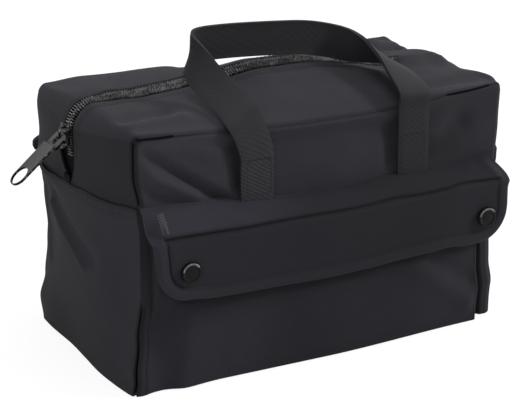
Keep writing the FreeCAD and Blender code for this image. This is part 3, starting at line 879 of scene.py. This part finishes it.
for (side, word), seed in zip(SIDES, (6.1, 12.7)):
    cloth(word + "_pocket_canvas", (190, 48), pocket_place(side, seed), (283, 106), pocket_canvas,
          (word + "_pocket",), "bag", shade=pocket_shade, ease=0.75)

# %% [markdown]
# ## Flaps
# The flap leaves its seam as a plump roll, tucks in at a sewn line and hangs as a stiff face with a thick
# bound rim. Its lower corners are round. The whole section is one line down the flap, and the rim is a
# step in its height near the sides and the foot.

# %% Flap outline
FLAP_ROUND, FLAP_ROOT_OUT, FLAP_FACE_OUT = 25.0, 80.6, 95.2
flap_ends = {-1: (-136.5, 146.0), 1: (-138.0, 137.0)}
roll_rows = ((-140, 129.5), (-121, 129.0), (-89, 127.3), (-65, 124.5), (-28, 121.5), (12, 121.5),
             (61, 123.8), (103, 122.8), (122, 125.0), (147, 128.0))
tuck_rows = ((-121, 111.0), (-95, 110.8), (-67, 110.0), (17, 110.0), (47, 111.5), (76, 110.8), (91, 111.5),
             (106, 113.2), (137, 112.0))


def flap_inside(side, x):
    """Distance in from the nearer end of the flap."""
    left, right = flap_ends[side]
    return min(x - left, right - x)


def roll_top(side, x):
    """Where the roll leaves the panel."""
    return steps(x, roll_rows) if side < 0 else 129.0


def flap_foot(side, x):
    """Height of the flap's lower edge, round at its corners."""
    past = max(0.0, FLAP_ROUND - flap_inside(side, x))
    return FLAP_FOOT + FLAP_ROUND - math.sqrt(max(0.0, FLAP_ROUND ** 2 - past ** 2)) - steps(x, foot_rows)


def rim_depth(side, x, z):
    """Distance in from the flap's sides and foot."""
    inside = flap_inside(side, x)
    above = z + steps(x, foot_rows) - FLAP_FOOT
    if above < FLAP_ROUND and inside < FLAP_ROUND:
        return FLAP_ROUND - math.hypot(FLAP_ROUND - inside, FLAP_ROUND - above)
    return min(inside, above)


def rim_line(side, x, z):
    """The groove inside the rim: deep at the left end, faint along the foot and the right end."""
    return hump(rim_depth(side, x, z), 9.8, 0.9) * (0.1 + 0.9 * smooth(30, 16, x - flap_ends[side][0]))


print("flap hangs to", round(flap_foot(-1, 0), 1), "mm")


# %% Flap form
def flap_out(side, x, z):
    """Distance of the flap from the middle of the bag: under the panel, down the roll, then the face."""
    top = roll_top(side, x)
    low = steps(x, tuck_rows) - 2.5
    if z > top:
        return FLAP_ROOT_OUT - 5.0 * smooth(top, top + 4, z)
    if z > low:
        rise = math.sin((top - z) / (top - low) * math.pi / 2) ** 0.72
        return FLAP_ROOT_OUT + (FLAP_FACE_OUT - FLAP_ROOT_OUT) * rise
    return FLAP_FACE_OUT - 0.3 * smooth(109, 80, z)


def flap_point(side, x, z):
    """A point on the flap's outer face."""
    inside = flap_inside(side, x)
    depth = rim_depth(side, x, z)
    tuck = steps(x, tuck_rows)
    top = roll_top(side, x)
    out = flap_out(side, x, z) - 2.2 * hump(z, tuck, 1.6) * smooth(6, 10, inside)
    bead = math.sqrt(max(0.0, 1 - ((depth - 4.6) / 4.8) ** 2))
    out += (1.0 * bead - 0.9 * rim_line(side, x, z)) * smooth(tuck + 2, tuck - 6, z)
    out += 1.0 * ripple((x, side, z), 48, 6.6) * smooth(top, top - 10, z)
    out += 0.9 * ripple((x, side, z), 24, 3.3) * hump(z, 118, 5)
    if side < 0:
        out += min(0.0, front_skin(x, z)) * smooth(top - 3, top + 3, z)
    out -= 0.6 * (1 - smooth(0, 11, inside)) * max(0.0, out - 81.5) * smooth(tuck - 3, tuck + 6, z)
    out -= 2.2 * (1 - smooth(0, 3, depth)) * smooth(tuck, tuck - 8, z)
    out -= 2.0 * smooth(90, 143, x) * smooth(131, 100, z)
    if side < 0:
        pull = 10.0 * smooth(105, 146, x) * smooth(tuck + 1, 128, z)
        pull += 4.0 * smooth(-105, -137, x) * smooth(85, 126, z)
    else:
        bulge = smooth(-112, -138, x)
        out += 9.0 * bulge * hump(z, 134.5, 7)
        pull = 12.6 * bulge * hump(z, 132.6, 10.5)
    return Vector((x - pull, side * out, z))


def flap_spot(side, u, w):
    """Length and height on a flap's grid, with more rows at the tuck and the roll."""
    left, right = flap_ends[side]
    x = left + (right - left) * (u if side < 0 else 1 - u)
    tuck = steps(x, tuck_rows)
    last = 137.0 if side < 0 else 137.0 + 7.0 * smooth(-112, -138, x)
    return x, straight(w, ((0.0, flap_foot(side, x)), (0.50, tuck - 4), (0.66, tuck + 4),
                           (0.92, roll_top(side, x) + 0.5), (1.0, last)))


print("flap stands out to", round(-flap_point(-1, 0, 90).y, 1), "mm")


# %% Flaps
def flap_shade(side):
    """Painted shade at the tuck, in the rim's groove and over the middle; painted light on the left, the
    roll's left end and the rim.
    """
    def shade(u, w):
        x, z = flap_spot(side, u, w)
        tuck = steps(x, tuck_rows)
        line = hump(z, tuck + 0.3, 1.2) * smooth(7, 10, flap_inside(side, x))
        groove = 0.8 * rim_line(side, x, z) * smooth(tuck + 1, tuck - 3, z)
        painted_light_and_shade = 0.50 * hump(x, 60, 100) - 0.22 * smooth(-60, -110, x)
        painted_light_and_shade -= 1.35 * smooth(tuck + 1, tuck + 5, z) * smooth(0, -95, x)
        rim = smooth(tuck + 5, tuck + 1, z) * smooth(9.5, 8.0, rim_depth(side, x, z))
        painted_light_and_shade -= rim * (0.35 + 0.3 * smooth(-95, -120, x))
        return painted_light_and_shade + (1 - painted_light_and_shade) * max(line, groove)
    return shade


def flap_place(side):
    """A flap's grid."""
    def place(u, w):
        return flap_point(side, *flap_spot(side, u, w))
    return place


for side, word in SIDES:
    made = cloth(word + "_flap_canvas", (190, 110), flap_place(side), (281, 80), pocket_canvas,
                 (word + "_flap", word + "_flap_seam"), thick=2.4, shade=flap_shade(side), ease=0.5)
    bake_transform(made)

# %% [markdown]
# ## Snap caps
# Each cap is a pressed disc with a rolled rim and a shallow dish. Half its section is a short line of
# points, and a full spin turns it round the snap's axis. A part spin lays a brighter arc on its rim: a
# painted highlight.

# %% Snap caps
SNAP_X, SNAP_OUT, SNAP_HIGH = (-111.5, 125.5), 94.7, 86.0
cap_section = ((0.0, 2.1), (2.6, 2.0), (4.6, 1.6), (5.4, 1.8), (6.2, 2.4), (7.0, 2.2), (7.5, 1.4),
               (7.5, 0.0))
rim_section = ((5.7, 2.0), (6.1, 2.5), (6.6, 2.55), (7.1, 2.25))


def lathe(bm, section, centre, side, start, turn):
    """Spins a section of (radius, height) points about an axis along Y, from a start angle."""
    axis = Vector((0, side, 0))
    arm = Vector((math.cos(start), 0, math.sin(start)))
    ring = [bm.verts.new(centre + arm * r + axis * h) for r, h in section]
    edges = [bm.edges.new(pair) for pair in zip(ring, ring[1:])]
    whole = turn > 6.28
    bmesh.ops.spin(bm, geom=ring + edges, cent=centre, axis=(0, -1, 0), angle=turn, steps=40,
                   use_merge=whole)


# The brighter part ring is a painted highlight on the rim.
spins = (("discs", cap_section, snap_metal, 0.0, 2 * math.pi),
         ("painted_highlight_rims", rim_section, painted_highlight_metal, 0.6, 2.3))
for side, word in SIDES:
    for part, section, finish, start, turn in spins:
        bm = bmesh.new()
        for x in SNAP_X:
            lathe(bm, section, Vector((x, side * SNAP_OUT, SNAP_HIGH)), side, start, turn)
        bmesh.ops.remove_doubles(bm, verts=bm.verts, dist=0.01)
        bmesh.ops.recalc_face_normals(bm, faces=bm.faces)
        made = piece(word + "_snap_cap_" + part, bm, finish, (word + "_snap_caps",),
                     word + "_flap_body")
        rounding = made.modifiers.new("round", "SUBSURF")
        rounding.levels = rounding.render_levels = 1
for _, word in SIDES:
    for kind in ("_snap_sockets", "_snap_studs", "_snap_posts"):
        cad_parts[word + kind].material_slots[0].material = snap_metal
print("snap caps", 2 * len(SNAP_X))

# %% [markdown]
# ## Handles
# One length of webbing makes each handle: it is sewn flat above the flap, leaves the panel and turns on
# edge as a band. The stations below are the CAD ribbon's own, bent to the photograph at the left, with
# the sewn tails added; a smooth line through them gives the bend. Flat webbing is modelled directly,
# because a remesh would erase it.

# %% Handle stations
HANDLE_X, HANDLE_HALF = 9.5, 61.5
FRONT_FOOT, FRONT_REACH, FRONT_TAIL = (-80.2, 160.9), (77.0, 52.6), -80.1
BACK_FOOT, BACK_REACH, BACK_TAIL = (80.9, 161.5), (16.2, 78.0), 79.9
front_stations = (
    (-1.026, 0, -0.08, (0.99, 0, 0.12)), (-1.11, -0.01, 0.21, (0.9, 0, 0.42)),
    (-1.2, 0, 0.42, (0.86, 0, 0.5)), (-1.205, 0.21, 0.57, (0.86, -0.1, 0.48)),
    (-1.275, 0.44, 0.7, (0.78, -0.2, 0.6)), (-1.318, 0.62, 0.845, (0.58, -0.15, 0.82)),
    (-1.332, 0.765, 0.975, (0.3, -0.05, 0.95)), (-1.28, 0.87, 1.05, (0.1, 0, 1)),
    (-1.12, 0.935, 1.07, (0, 0, 1)), (-0.72, 0.96, 1.052, (0, 0, 1)),
    (-0.15, 0.96, 1.004, (0, 0, 1)), (0.25, 0.96, 0.952, (0, 0, 1)),
    (0.59, 0.935, 0.86, (-0.1, -0.05, 1)), (0.82, 0.855, 0.775, (-0.3, -0.1, 0.95)),
    (0.97, 0.7, 0.74, (-0.6, -0.2, 0.75)), (1.03, 0.47, 0.68, (-0.87, -0.2, 0.45)),
    (1.03, 0.235, 0.565, (-0.97, -0.1, 0.2)), (1.01, 0, 0.42, (-1, 0, 0.05)),
    (1, 0, 0.21, (-1, 0, 0)), (1, 0, 0, (-1, 0, 0)))
back_stations = (
    (-1, 0.3, -0.006, (1, 0, 0)), (-1, 0.64, -0.036, (1, 0, 0)), (-1, 0.88, -0.11, (1, 0, 0)),
    (-0.995, 1.06, -0.3, (1, 0, 0)), (-0.97, 1.26, -0.58, (0.95, 0.25, -0.1)),
    (-0.88, 1.56, -0.82, (0.7, 0.65, -0.25)), (-0.66, 1.81, -0.95, (0.3, 0.92, -0.2)),
    (-0.33, 1.91, -1, (0.1, 0.98, -0.15)))


def stationed(stations, foot, reach):
    """Centre points and width directions from rows of (along, away, up, direction); foot is at 0, 0."""
    return [(Vector((HANDLE_X + along * HANDLE_HALF, foot[0] + away * reach[0], foot[1] + up * reach[1])),
             Vector(turn)) for along, away, up, turn in stations]


def front_route():
    """The front webbing, tails included."""
    route = stationed(front_stations, FRONT_FOOT, FRONT_REACH)
    first, last = ([(Vector((spot.x, FRONT_TAIL, z)), turn) for z in (119.0, 128.0, 137.0, 146.0)]
                   for spot, turn in (route[0], route[-1]))
    return first + route + last[::-1]


def back_route():
    """The back webbing, tails included: its right half mirrors its left."""
    x, across = LEGS[0], Vector((1, 0, 0))
    half = [(Vector((x, BACK_TAIL + back_skin(x, z), z)), across) for z in (133.0, 141.0, 149.0, 156.0)]
    half.append((Vector((x, BACK_TAIL, 160.2)), across))
    half += stationed(back_stations, BACK_FOOT, BACK_REACH)
    mirrored = [(Vector((2 * HANDLE_X - p.x, p.y, p.z)), Vector((-t.x, t.y, t.z))) for p, t in half]
    return half + mirrored[::-1]


print("stations", len(front_route()), len(back_route()))

# %% Handles
WEBBING_HALF, WEBBING_SKIN = 12.5, 1.15


def curve_through(route, t):
    """A smooth point and width direction at a share of the route."""
    last = len(route) - 1
    place = min(last - 1e-6, t * last)
    i = int(place)
    f = place - i
    near = [route[min(last, max(0, i + k))] for k in (-1, 0, 1, 2)]
    rows = []
    for part in (0, 1):
        a, b, c, d = (row[part] for row in near)
        rows.append(0.5 * (2 * b + (c - a) * f + (2 * a - 5 * b + 4 * c - d) * f * f
                           + (3 * b - a - 3 * c + d) * f ** 3))
    return rows


def webbing_place(route):
    """The grid of a length of webbing: u across, w along."""
    def place(u, w):
        point, turn = curve_through(route, w)
        ahead = curve_through(route, min(1, w + 0.004))[0] - curve_through(route, max(0, w - 0.004))[0]
        ahead.normalize()
        across = (turn - ahead * turn.dot(ahead)).normalized()
        off = 2 * u - 1
        rise = WEBBING_SKIN - 0.5 * abs(off) ** 6
        return point + across * off * WEBBING_HALF + across.cross(ahead) * rise
    return place


def band_shade(u, w):
    """Painted shade on the band and the right leg, which are darker than the left leg."""
    return 0.62 * smooth(0.30, 0.42, w) * (1 - 0.85 * smooth(0.53, 0.60, w)) + 0.5 * smooth(0.68, 0.75, w)


def handle(word, rows, route, long, shade):
    """One handle's webbing, with its rows of faces and its cut length."""
    return cloth(word + "_handle_webbing", (12, rows), webbing_place(route), (25, long), webbing,
                 (word + "_handle", word + "_handle_tails"), thick=2.3,
                 shade=shade)


front_webbing = handle("front", 270, front_route(), 424, band_shade)
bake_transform(front_webbing)
back_webbing = handle("back", 240, back_route(), 372, no_shade)
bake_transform(back_webbing)

# %% [markdown]
# ## Zip tape and teeth
# The tape shows as a dark line on both sides of the teeth. Each tooth is a small bevelled block, and the
# two rows mesh: one row's heads lie in the other's gaps. Below the slider the rows part.

# %% Tape
TAPE_OUTER, TAPE_WIDE = 16.0, 14.0


def tape_place(side, u0):
    """Half of one tape's grid, from under the hem to the teeth; at its lower end it closes the slit as
    painted shade.
    """
    def place(u, w):
        along = u0 + 0.5 * (u if side < 0 else 1 - u)
        point = gusset_point(side, along, TAPE_OUTER - TAPE_WIDE * w, 1.7 + 1.0 * smooth(0.3, 0.22, along))
        # Below the slider the tape's inner edge is drawn to the middle: a dark sheet in place of the slit's
        # shade.
        point.y *= 1 - w * smooth(0.115, 0.09, along)
        return point
    return place


for side, word in SIDES:
    for half, end, u0 in HALVES:
        made = cloth(word + "_tape_" + half, (90, 6), tape_place(side, u0), (210, 14), tape_cloth,
                     (word + "_zip_tape", half + "_zip_tape_ends"), thick=0.8)
        follow_mouth(made, word, end)

# %% Teeth
TEETH_IN_HALF = 96
TOOTH_AT, TOOTH_LONG = 2.7, 5.4
HEAD_WIDE, HEAD_HIGH, ROOT_WIDE, ROOT_HIGH = 0.80, 2.3, 0.55, 1.8
teeth_reach = {"left": (0.075, 0.5), "right": (0.5, 0.965)}


def round_edges(bm, offset, segments):
    """Bevels every edge, in mm."""
    bmesh.ops.bevel(bm, geom=bm.edges[:], offset=offset, segments=segments, profile=0.5, affect="EDGES",
                    material=-1)


def set_block(bm, verts, middle, ahead, across, up):
    """Turns a block that is drawn about the origin onto three directions, at a place."""
    turn = Matrix((ahead, across, up)).transposed().to_4x4()
    bmesh.ops.transform(bm, matrix=Matrix.Translation(middle) @ turn, verts=verts)


def tooth(bm, side, u):
    """One tooth of a row, at a share of the path's length."""
    before, point, after = (gusset_point(side, u + step, TOOTH_AT, -0.2) for step in (-0.002, 0, 0.002))
    ahead = (after - before).normalized()
    across = gusset_point(side, u, 4.5) - gusset_point(side, u, 1.0)
    across = (across - ahead * across.dot(ahead)).normalized()
    made = bmesh.ops.create_cube(bm, size=1.0)["verts"]
    for vert in made:
        inner = vert.co.y < 0
        vert.co.x *= HEAD_WIDE if inner else ROOT_WIDE
        vert.co.y *= TOOTH_LONG
        vert.co.z *= HEAD_HIGH if inner else ROOT_HIGH
    set_block(bm, made, point, ahead, across, ahead.cross(across) * -side)


for side, word in SIDES:
    for half, end, _ in HALVES:
        bm = bmesh.new()
        u0, u1 = teeth_reach[half]
        shift = 0.25 if side < 0 else 0.75
        for i in range(TEETH_IN_HALF):
            tooth(bm, side, u0 + (u1 - u0) * (i + shift) / TEETH_IN_HALF)
        round_edges(bm, 0.28, 1)
        nodes = (word + "_zip_teeth", half + "_zip_teeth_ends")
        made = piece(word + "_teeth_" + half, bm, teeth_metal, nodes)
        for face in made.data.polygons:
            face.use_smooth = False
        follow_mouth(made, word, end)
print("teeth", 4 * TEETH_IN_HALF)

# %% [markdown]
# ## Slider
# The slider is two plates with turned sides, joined by a web, and an arch across its face. Each plate is a
# few points extruded and bevelled. All are drawn flat, as (across, up, out), then stood on the bag's end.

# %% Plates and bevels
SLIDER_HIGH = 164.0
PLATE_OUT, BACK_PLATE_OUT, WEB_OUT, ARCH_OUT = 158.7, 152.4, 152.0, 160.6


def lift(bm, made, vec):
    """Moves what an extrude has made."""
    bmesh.ops.translate(bm, vec=vec, verts=[v for v in made["geom"] if isinstance(v, bmesh.types.BMVert)])


def slab(bm, outline, thick, base=0.0):
    """A closed outline extruded along its own Z."""
    face = bm.faces.new([bm.verts.new((x, y, base)) for x, y in outline])
    lift(bm, bmesh.ops.extrude_face_region(bm, geom=[face]), (0, 0, thick))


def onto_slider(bm):
    """Turns a drawing of (across, up, out) onto the bag's left end."""
    turn = Matrix(((0, 0, -1, 0), (1, 0, 0, 0), (0, 1, 0, SLIDER_HIGH), (0, 0, 0, 1)))
    bmesh.ops.transform(bm, matrix=turn, verts=bm.verts)


def soften(made, width):
    """A Bevel modifier, in mm."""
    rounding = made.modifiers.new("round", "BEVEL")
    rounding.width = width * MM
    rounding.segments = 2
    return rounding


print("slider plates stand from", BACK_PLATE_OUT, "to", ARCH_OUT, "mm")

# %% Slider
shield = [(5.2, 7.5), (6.5, 5.6), (6.5, 1.5), (4.6, -6.4), (3.4, -7.5)]
shield = shield + [(-x, y) for x, y in shield[::-1]]
bm = bmesh.new()
slab(bm, shield, 1.9, PLATE_OUT)
for lip in (-1, 1):
    slab(bm, [(lip * 6.5, 5.8), (lip * 5.4, 5.8), (lip * 5.4, 1.5), (lip * 6.5, 1.5)], -0.8, PLATE_OUT)
slab(bm, shield, 1.4, BACK_PLATE_OUT)
slab(bm, [(0.6, 7.2), (-0.6, 7.2), (-0.6, 2.4), (0.6, 2.4)], 7.0, WEB_OUT)
onto_slider(bm)
bmesh.ops.recalc_face_normals(bm, faces=bm.faces)
round_edges(bm, 0.35, 2)
piece("slider_plates", bm, slider_metal, ("zip_slider",), "slider")

arch = [(0.0, 0.0), (0.4, 2.2), (1.7, 3.9), (4.0, 4.6), (8.0, 4.6), (10.6, 4.0), (12.2, 2.4), (13.0, 0.0)]
bm = bmesh.new()
spine = [bm.verts.new((-1.5, s - 6.5, ARCH_OUT + h)) for s, h in arch]
bars = [bm.edges.new(pair) for pair in zip(spine, spine[1:])]
lift(bm, bmesh.ops.extrude_edge_only(bm, edges=bars), (3.0, 0, 0))
bmesh.ops.recalc_face_normals(bm, faces=bm.faces)
bmesh.ops.solidify(bm, geom=bm.faces[:], thickness=1.4)
bmesh.ops.recalc_face_normals(bm, faces=bm.faces)
onto_slider(bm)
soften(piece("slider_arch", bm, slider_metal, ("slider_bridge",), "slider"), 0.4)
print("slider plates 2, arch points", len(arch))

# %% [markdown]
# ## Pull tab
# The tab is a flat plate that hangs from the arch by a pin between two cheeks. Its round end has an oval
# hole nearly as wide as itself, so a ring of faces is bridged between two outlines instead of cut. Its
# face has a duller, greyer coat; its edges take the slider's near-black finish as painted shade.

# %% Pull tab
TAB_HALF, TAB_THICK, TURNS = 8.0, 1.8, 48
HOLE_AT, HOLE_HALF, HOLE_REACH = 40.4, 6.8, 0.3
TAB_PIVOT, TAB_HANG = (-162.0, 0, SLIDER_HIGH), math.radians(140)


def oval(half, reach):
    """Points of a slot: half its width, reach its straight half length."""
    angles = [2 * math.pi * i / TURNS for i in range(TURNS)]
    return [(math.cos(a) * half + math.copysign(reach, math.cos(a)), math.sin(a) * half) for a in angles]


def tab_rim(x, y):
    """Stretches the inner half of a circle to the square shoulders of the tab."""
    if x > 0:
        return HOLE_AT + x, y
    return HOLE_AT + max(-29.4, x * 40), math.copysign(min(TAB_HALF, abs(y) + abs(x)), y)


bm = bmesh.new()
loops = []
rim = [tab_rim(x, y) for x, y in oval(TAB_HALF, 0.0)]
hole = [(HOLE_AT + x, y) for x, y in oval(HOLE_HALF, HOLE_REACH)]
for outline in (rim, hole):
    ring = [bm.verts.new((x, y, 0)) for x, y in outline]
    loops += [bm.edges.new(pair) for pair in zip(ring, ring[1:] + ring[:1])]
bmesh.ops.bridge_loops(bm, edges=loops)
bmesh.ops.recalc_face_normals(bm, faces=bm.faces)
bmesh.ops.solidify(bm, geom=bm.faces[:], thickness=TAB_THICK)
for lip in (-1, 1):
    near, far = lip * 2.7, lip * TAB_HALF
    slab(bm, [(0.0, far), (0.0, near), (11.5, near), (11.5, far)], TAB_THICK)
slab(bm, [(9.0, TAB_HALF), (9.0, -TAB_HALF), (12.0, -TAB_HALF), (12.0, TAB_HALF)], TAB_THICK)
pin = bmesh.ops.create_cone(bm, segments=16, radius1=1.0, radius2=1.0, depth=14.0, cap_ends=True)["verts"]
bmesh.ops.rotate(bm, cent=(0, 0, 0), matrix=Matrix.Rotation(math.pi / 2, 3, "X"), verts=pin)
bmesh.ops.translate(bm, vec=(0, 0, TAB_THICK / 2), verts=pin)
bmesh.ops.recalc_face_normals(bm, faces=bm.faces)
bmesh.ops.translate(bm, vec=(0, 0, -TAB_THICK / 2), verts=bm.verts)
tilt = Matrix.Translation(TAB_PIVOT) @ Matrix.Rotation(TAB_HANG, 4, "Y")
bmesh.ops.transform(bm, matrix=tilt, verts=bm.verts)
tab = piece("pull_tab_plate", bm, tab_metal, ("pull_tab",), "tab")
soften(tab, 0.3).limit_method = "ANGLE"
tab.data.materials.append(slider_metal)
flat = tilt.to_3x3() @ Vector((0, 0, 1))
# Faces across the plate get the tab finish; its edges get the near-black slider finish as painted shade.
for face in tab.data.polygons:
    face.material_index = 0 if abs(face.normal.dot(flat)) > 0.7 else 1
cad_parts["zip_stops"].material_slots[0].material = stop_metal
print("pull tab", len(tab.data.polygons), "faces")


# %% [markdown]
# ## Stitches
# Every seam of a bag is a row of short stitches sunk between the threads. A bump could hint at them, but
# small bevelled blocks catch the light as thread does, and each row follows the cloth that it is sewn in.
# The bar tack on the flap's end has frayed pale.

# %% Stitch rows
def sew(bm, spot, count, wide=0.75, high=0.5, fill=0.7):
    """A row of stitches: spot(t) gives a point and the direction out of the cloth there."""
    for i in range(count):
        start, out = spot((i + 0.5 - fill / 2) / count)
        ahead = spot((i + 0.5 + fill / 2) / count)[0] - start
        middle = start + ahead / 2
        long = ahead.length
        ahead.normalize()
        up = (out - ahead * out.dot(ahead)).normalized()
        made = bmesh.ops.create_cube(bm, size=1.0)["verts"]
        bmesh.ops.scale(bm, vec=(long, wide, high), verts=made)
        set_block(bm, made, middle, ahead, up.cross(ahead), up)


def sewn(name, bm, finish, body=None):
    """Rounds the stitches and makes them a piece."""
    round_edges(bm, 0.16, 1)
    made = piece(name, bm, finish, (), body)
    print(name, len(made.data.polygons), "faces")
    return made


def flap_row(side, start, end):
    """A row across the flap's face, under the tuck."""
    def spot(t):
        x = start + (end - start) * t
        return flap_point(side, x, steps(x, tuck_rows) - 2.2), Vector((0, side, 0.15))
    return spot


def rim_row(side, inset):
    """A row round the flap's sides and foot, inside its edge."""
    left, right = flap_ends[side]
    high, low, bend = 106.0, FLAP_FOOT + inset, FLAP_ROUND - inset
    down, curve = high - FLAP_FOOT - FLAP_ROUND, bend * math.pi / 2
    total = 2 * down + 2 * curve + right - left - 2 * FLAP_ROUND

    def spot(t):
        d = min(t * total, total - t * total)
        if d < down:
            x, z = inset, high - d
        elif d < down + curve:
            a = (d - down) / bend
            x, z = FLAP_ROUND - bend * math.cos(a), low + bend - bend * math.sin(a)
        else:
            x, z = FLAP_ROUND + d - down - curve, low
        x = right - x if t > 0.5 else left + x
        return flap_point(side, x, z - steps(x, foot_rows)), Vector((0, side, 0))
    return spot


def bar_tack(side, x, z):
    """One short stitch across the end of the roll."""
    def spot(t):
        return flap_point(side, x + 4.6 * t, z + 0.4 * t), Vector((0, side, 0.4))
    return spot


print("rim row starts at", [round(v, 1) for v in rim_row(-1, 8.0)(0.0)[0]])

# %% Flap stitches
pale_thread = woven("frayed_thread", (0.085, 0.083, 0.088), 0.4, 0.7, 0.20, 0.02)
for side, word in SIDES:
    bm = bmesh.new()
    left, right = flap_ends[side]
    sew(bm, flap_row(side, left + 12, right - 12), 78, 0.7, 0.3)
    sew(bm, rim_row(side, 8.0), 116, 0.7, 0.3)
    sewn(word + "_flap_stitches", bm, thread_black, word + "_flap_body")
    bm = bmesh.new()
    for i in range(15):
        jitter = ripple((i * 7.0, side, 0), 5.0, 1.3)
        sew(bm, bar_tack(side, left + 8.0 + 0.9 * jitter, 115.6 + 0.8 * i), 1, 0.5, 0.6, 0.9)
    sewn(word + "_flap_tack", bm, pale_thread, word + "_flap_body")

# %% Zip stitches
HEM_ROW = 11.5
hem_reach = {"left": (0.07, 0.5), "right": (0.5, 0.96)}


def hem_row(side, u0, u1):
    """A row beside the zip."""
    def spot(t):
        u = u0 + (u1 - u0) * t
        low = gusset_point(side, u, HEM_ROW)
        return low + Vector((0, 0, HEM_RISE)), gusset_point(side, u, HEM_ROW, -2.0) - low
    return spot


for side, word in SIDES:
    for half, end, _ in HALVES:
        bm = bmesh.new()
        sew(bm, hem_row(side, *hem_reach[half]), 60)
        follow_mouth(sewn(word + "_hem_stitches_" + half, bm, thread_grey), word, end)

# %% [markdown]
# ## Seam shadow cord, ends and handle tails
# Where the cloth pulls away from the front edge seam, at its left corner and near its right end, its shade
# is painted as a near-black cord whose ends sink out of sight. A box and cross of stitches holds each handle
# tail.

# %% Rows for the cord, the ends and the tails
SHADOW_CORD_OUT = 78.6
tail_out = {-1: 81.25, 1: 81.15}


def lap_row(side):
    """A row along the turned upper edge of an end panel."""
    place = end_place(side)

    def spot(t):
        u = 0.03 + 0.94 * t
        top = end_spot(side, u, 1.0)[1]
        return place(u, (top - 6.5) / top), Vector((side, 0, 0))
    return spot


def tail_row(side, x, route):
    """The box and cross that hold a handle's tail, as corner points of (off, height)."""
    def spot(t):
        d = t * (len(route) - 1)
        i = min(int(d), len(route) - 2)
        off, z = (a + (b - a) * (d - i) for a, b in zip(route[i], route[i + 1]))
        out = tail_out[side] + (back_skin(x, z) if side > 0 else 0.0)
        return Vector((x + off, side * out, z)), Vector((0, side, 0))
    return spot


def shadow_cord_row(side, x0, z0, x1, z1, start=0.0, end=0.0):
    """The front seam's cord of painted shade between two points of the taut drawing; each end may sink into
    the cloth.
    """
    def spot(t):
        sunk = start * (1 - t) ** 2 + end * t * t
        point = settle((x0 + (x1 - x0) * t, sunk - SHADOW_CORD_OUT, z0 + (z1 - z0) * t))
        return point, Vector((0.3 * side, -1, 0.2))
    return spot


print("cord stands out to", SHADOW_CORD_OUT, "mm")

# %% Cord, end and tail stitches
bm = bmesh.new()
corner = panel_top(-141.0) - 0.6
sew(bm, shadow_cord_row(-1, -142.5, corner, -114.0, panel_top(-114.0) - 0.4, 0.0, 2.0), 24, 1.5, 0.6, 1.0)
sew(bm, shadow_cord_row(-1, -144.4, corner - 1.4, -144.4, 133.0, 0.4, 0.4), 34, 1.3, 0.6, 1.0)
sew(bm, shadow_cord_row(1, 98.0, panel_top(98.0) - 0.4, 134.0, panel_top(134.0) - 0.4, 1.8, 1.8), 30, 1.4, 0.6, 1.0)
sewn("corner_seam_shadow_cord", bm, seam_shadow_thread, "bag")

bm = bmesh.new()
for side in (-1, 1):
    sew(bm, lap_row(side), 48)
    low, high = 128.0 if side < 0 else 137.0, 153
    box = ((-9, low), (-9, high), (9, high), (9, low), (-9, high), (9, high), (-9, low), (9, low))
    for x in LEGS:
        sew(bm, tail_row(side, x, box), 63, 0.6, 0.2)
sewn("end_and_tail_stitches", bm, thread_grey, "bag")

# %% [markdown]
# ## Sizes
# The visual model has to stay inside the CAD box, but for a little that cloth may stand proud.

# %% Finish
visual_box = [list(corner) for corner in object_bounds()]
print("visual box", [[round(v * 1000, 1) for v in corner] for corner in visual_box])
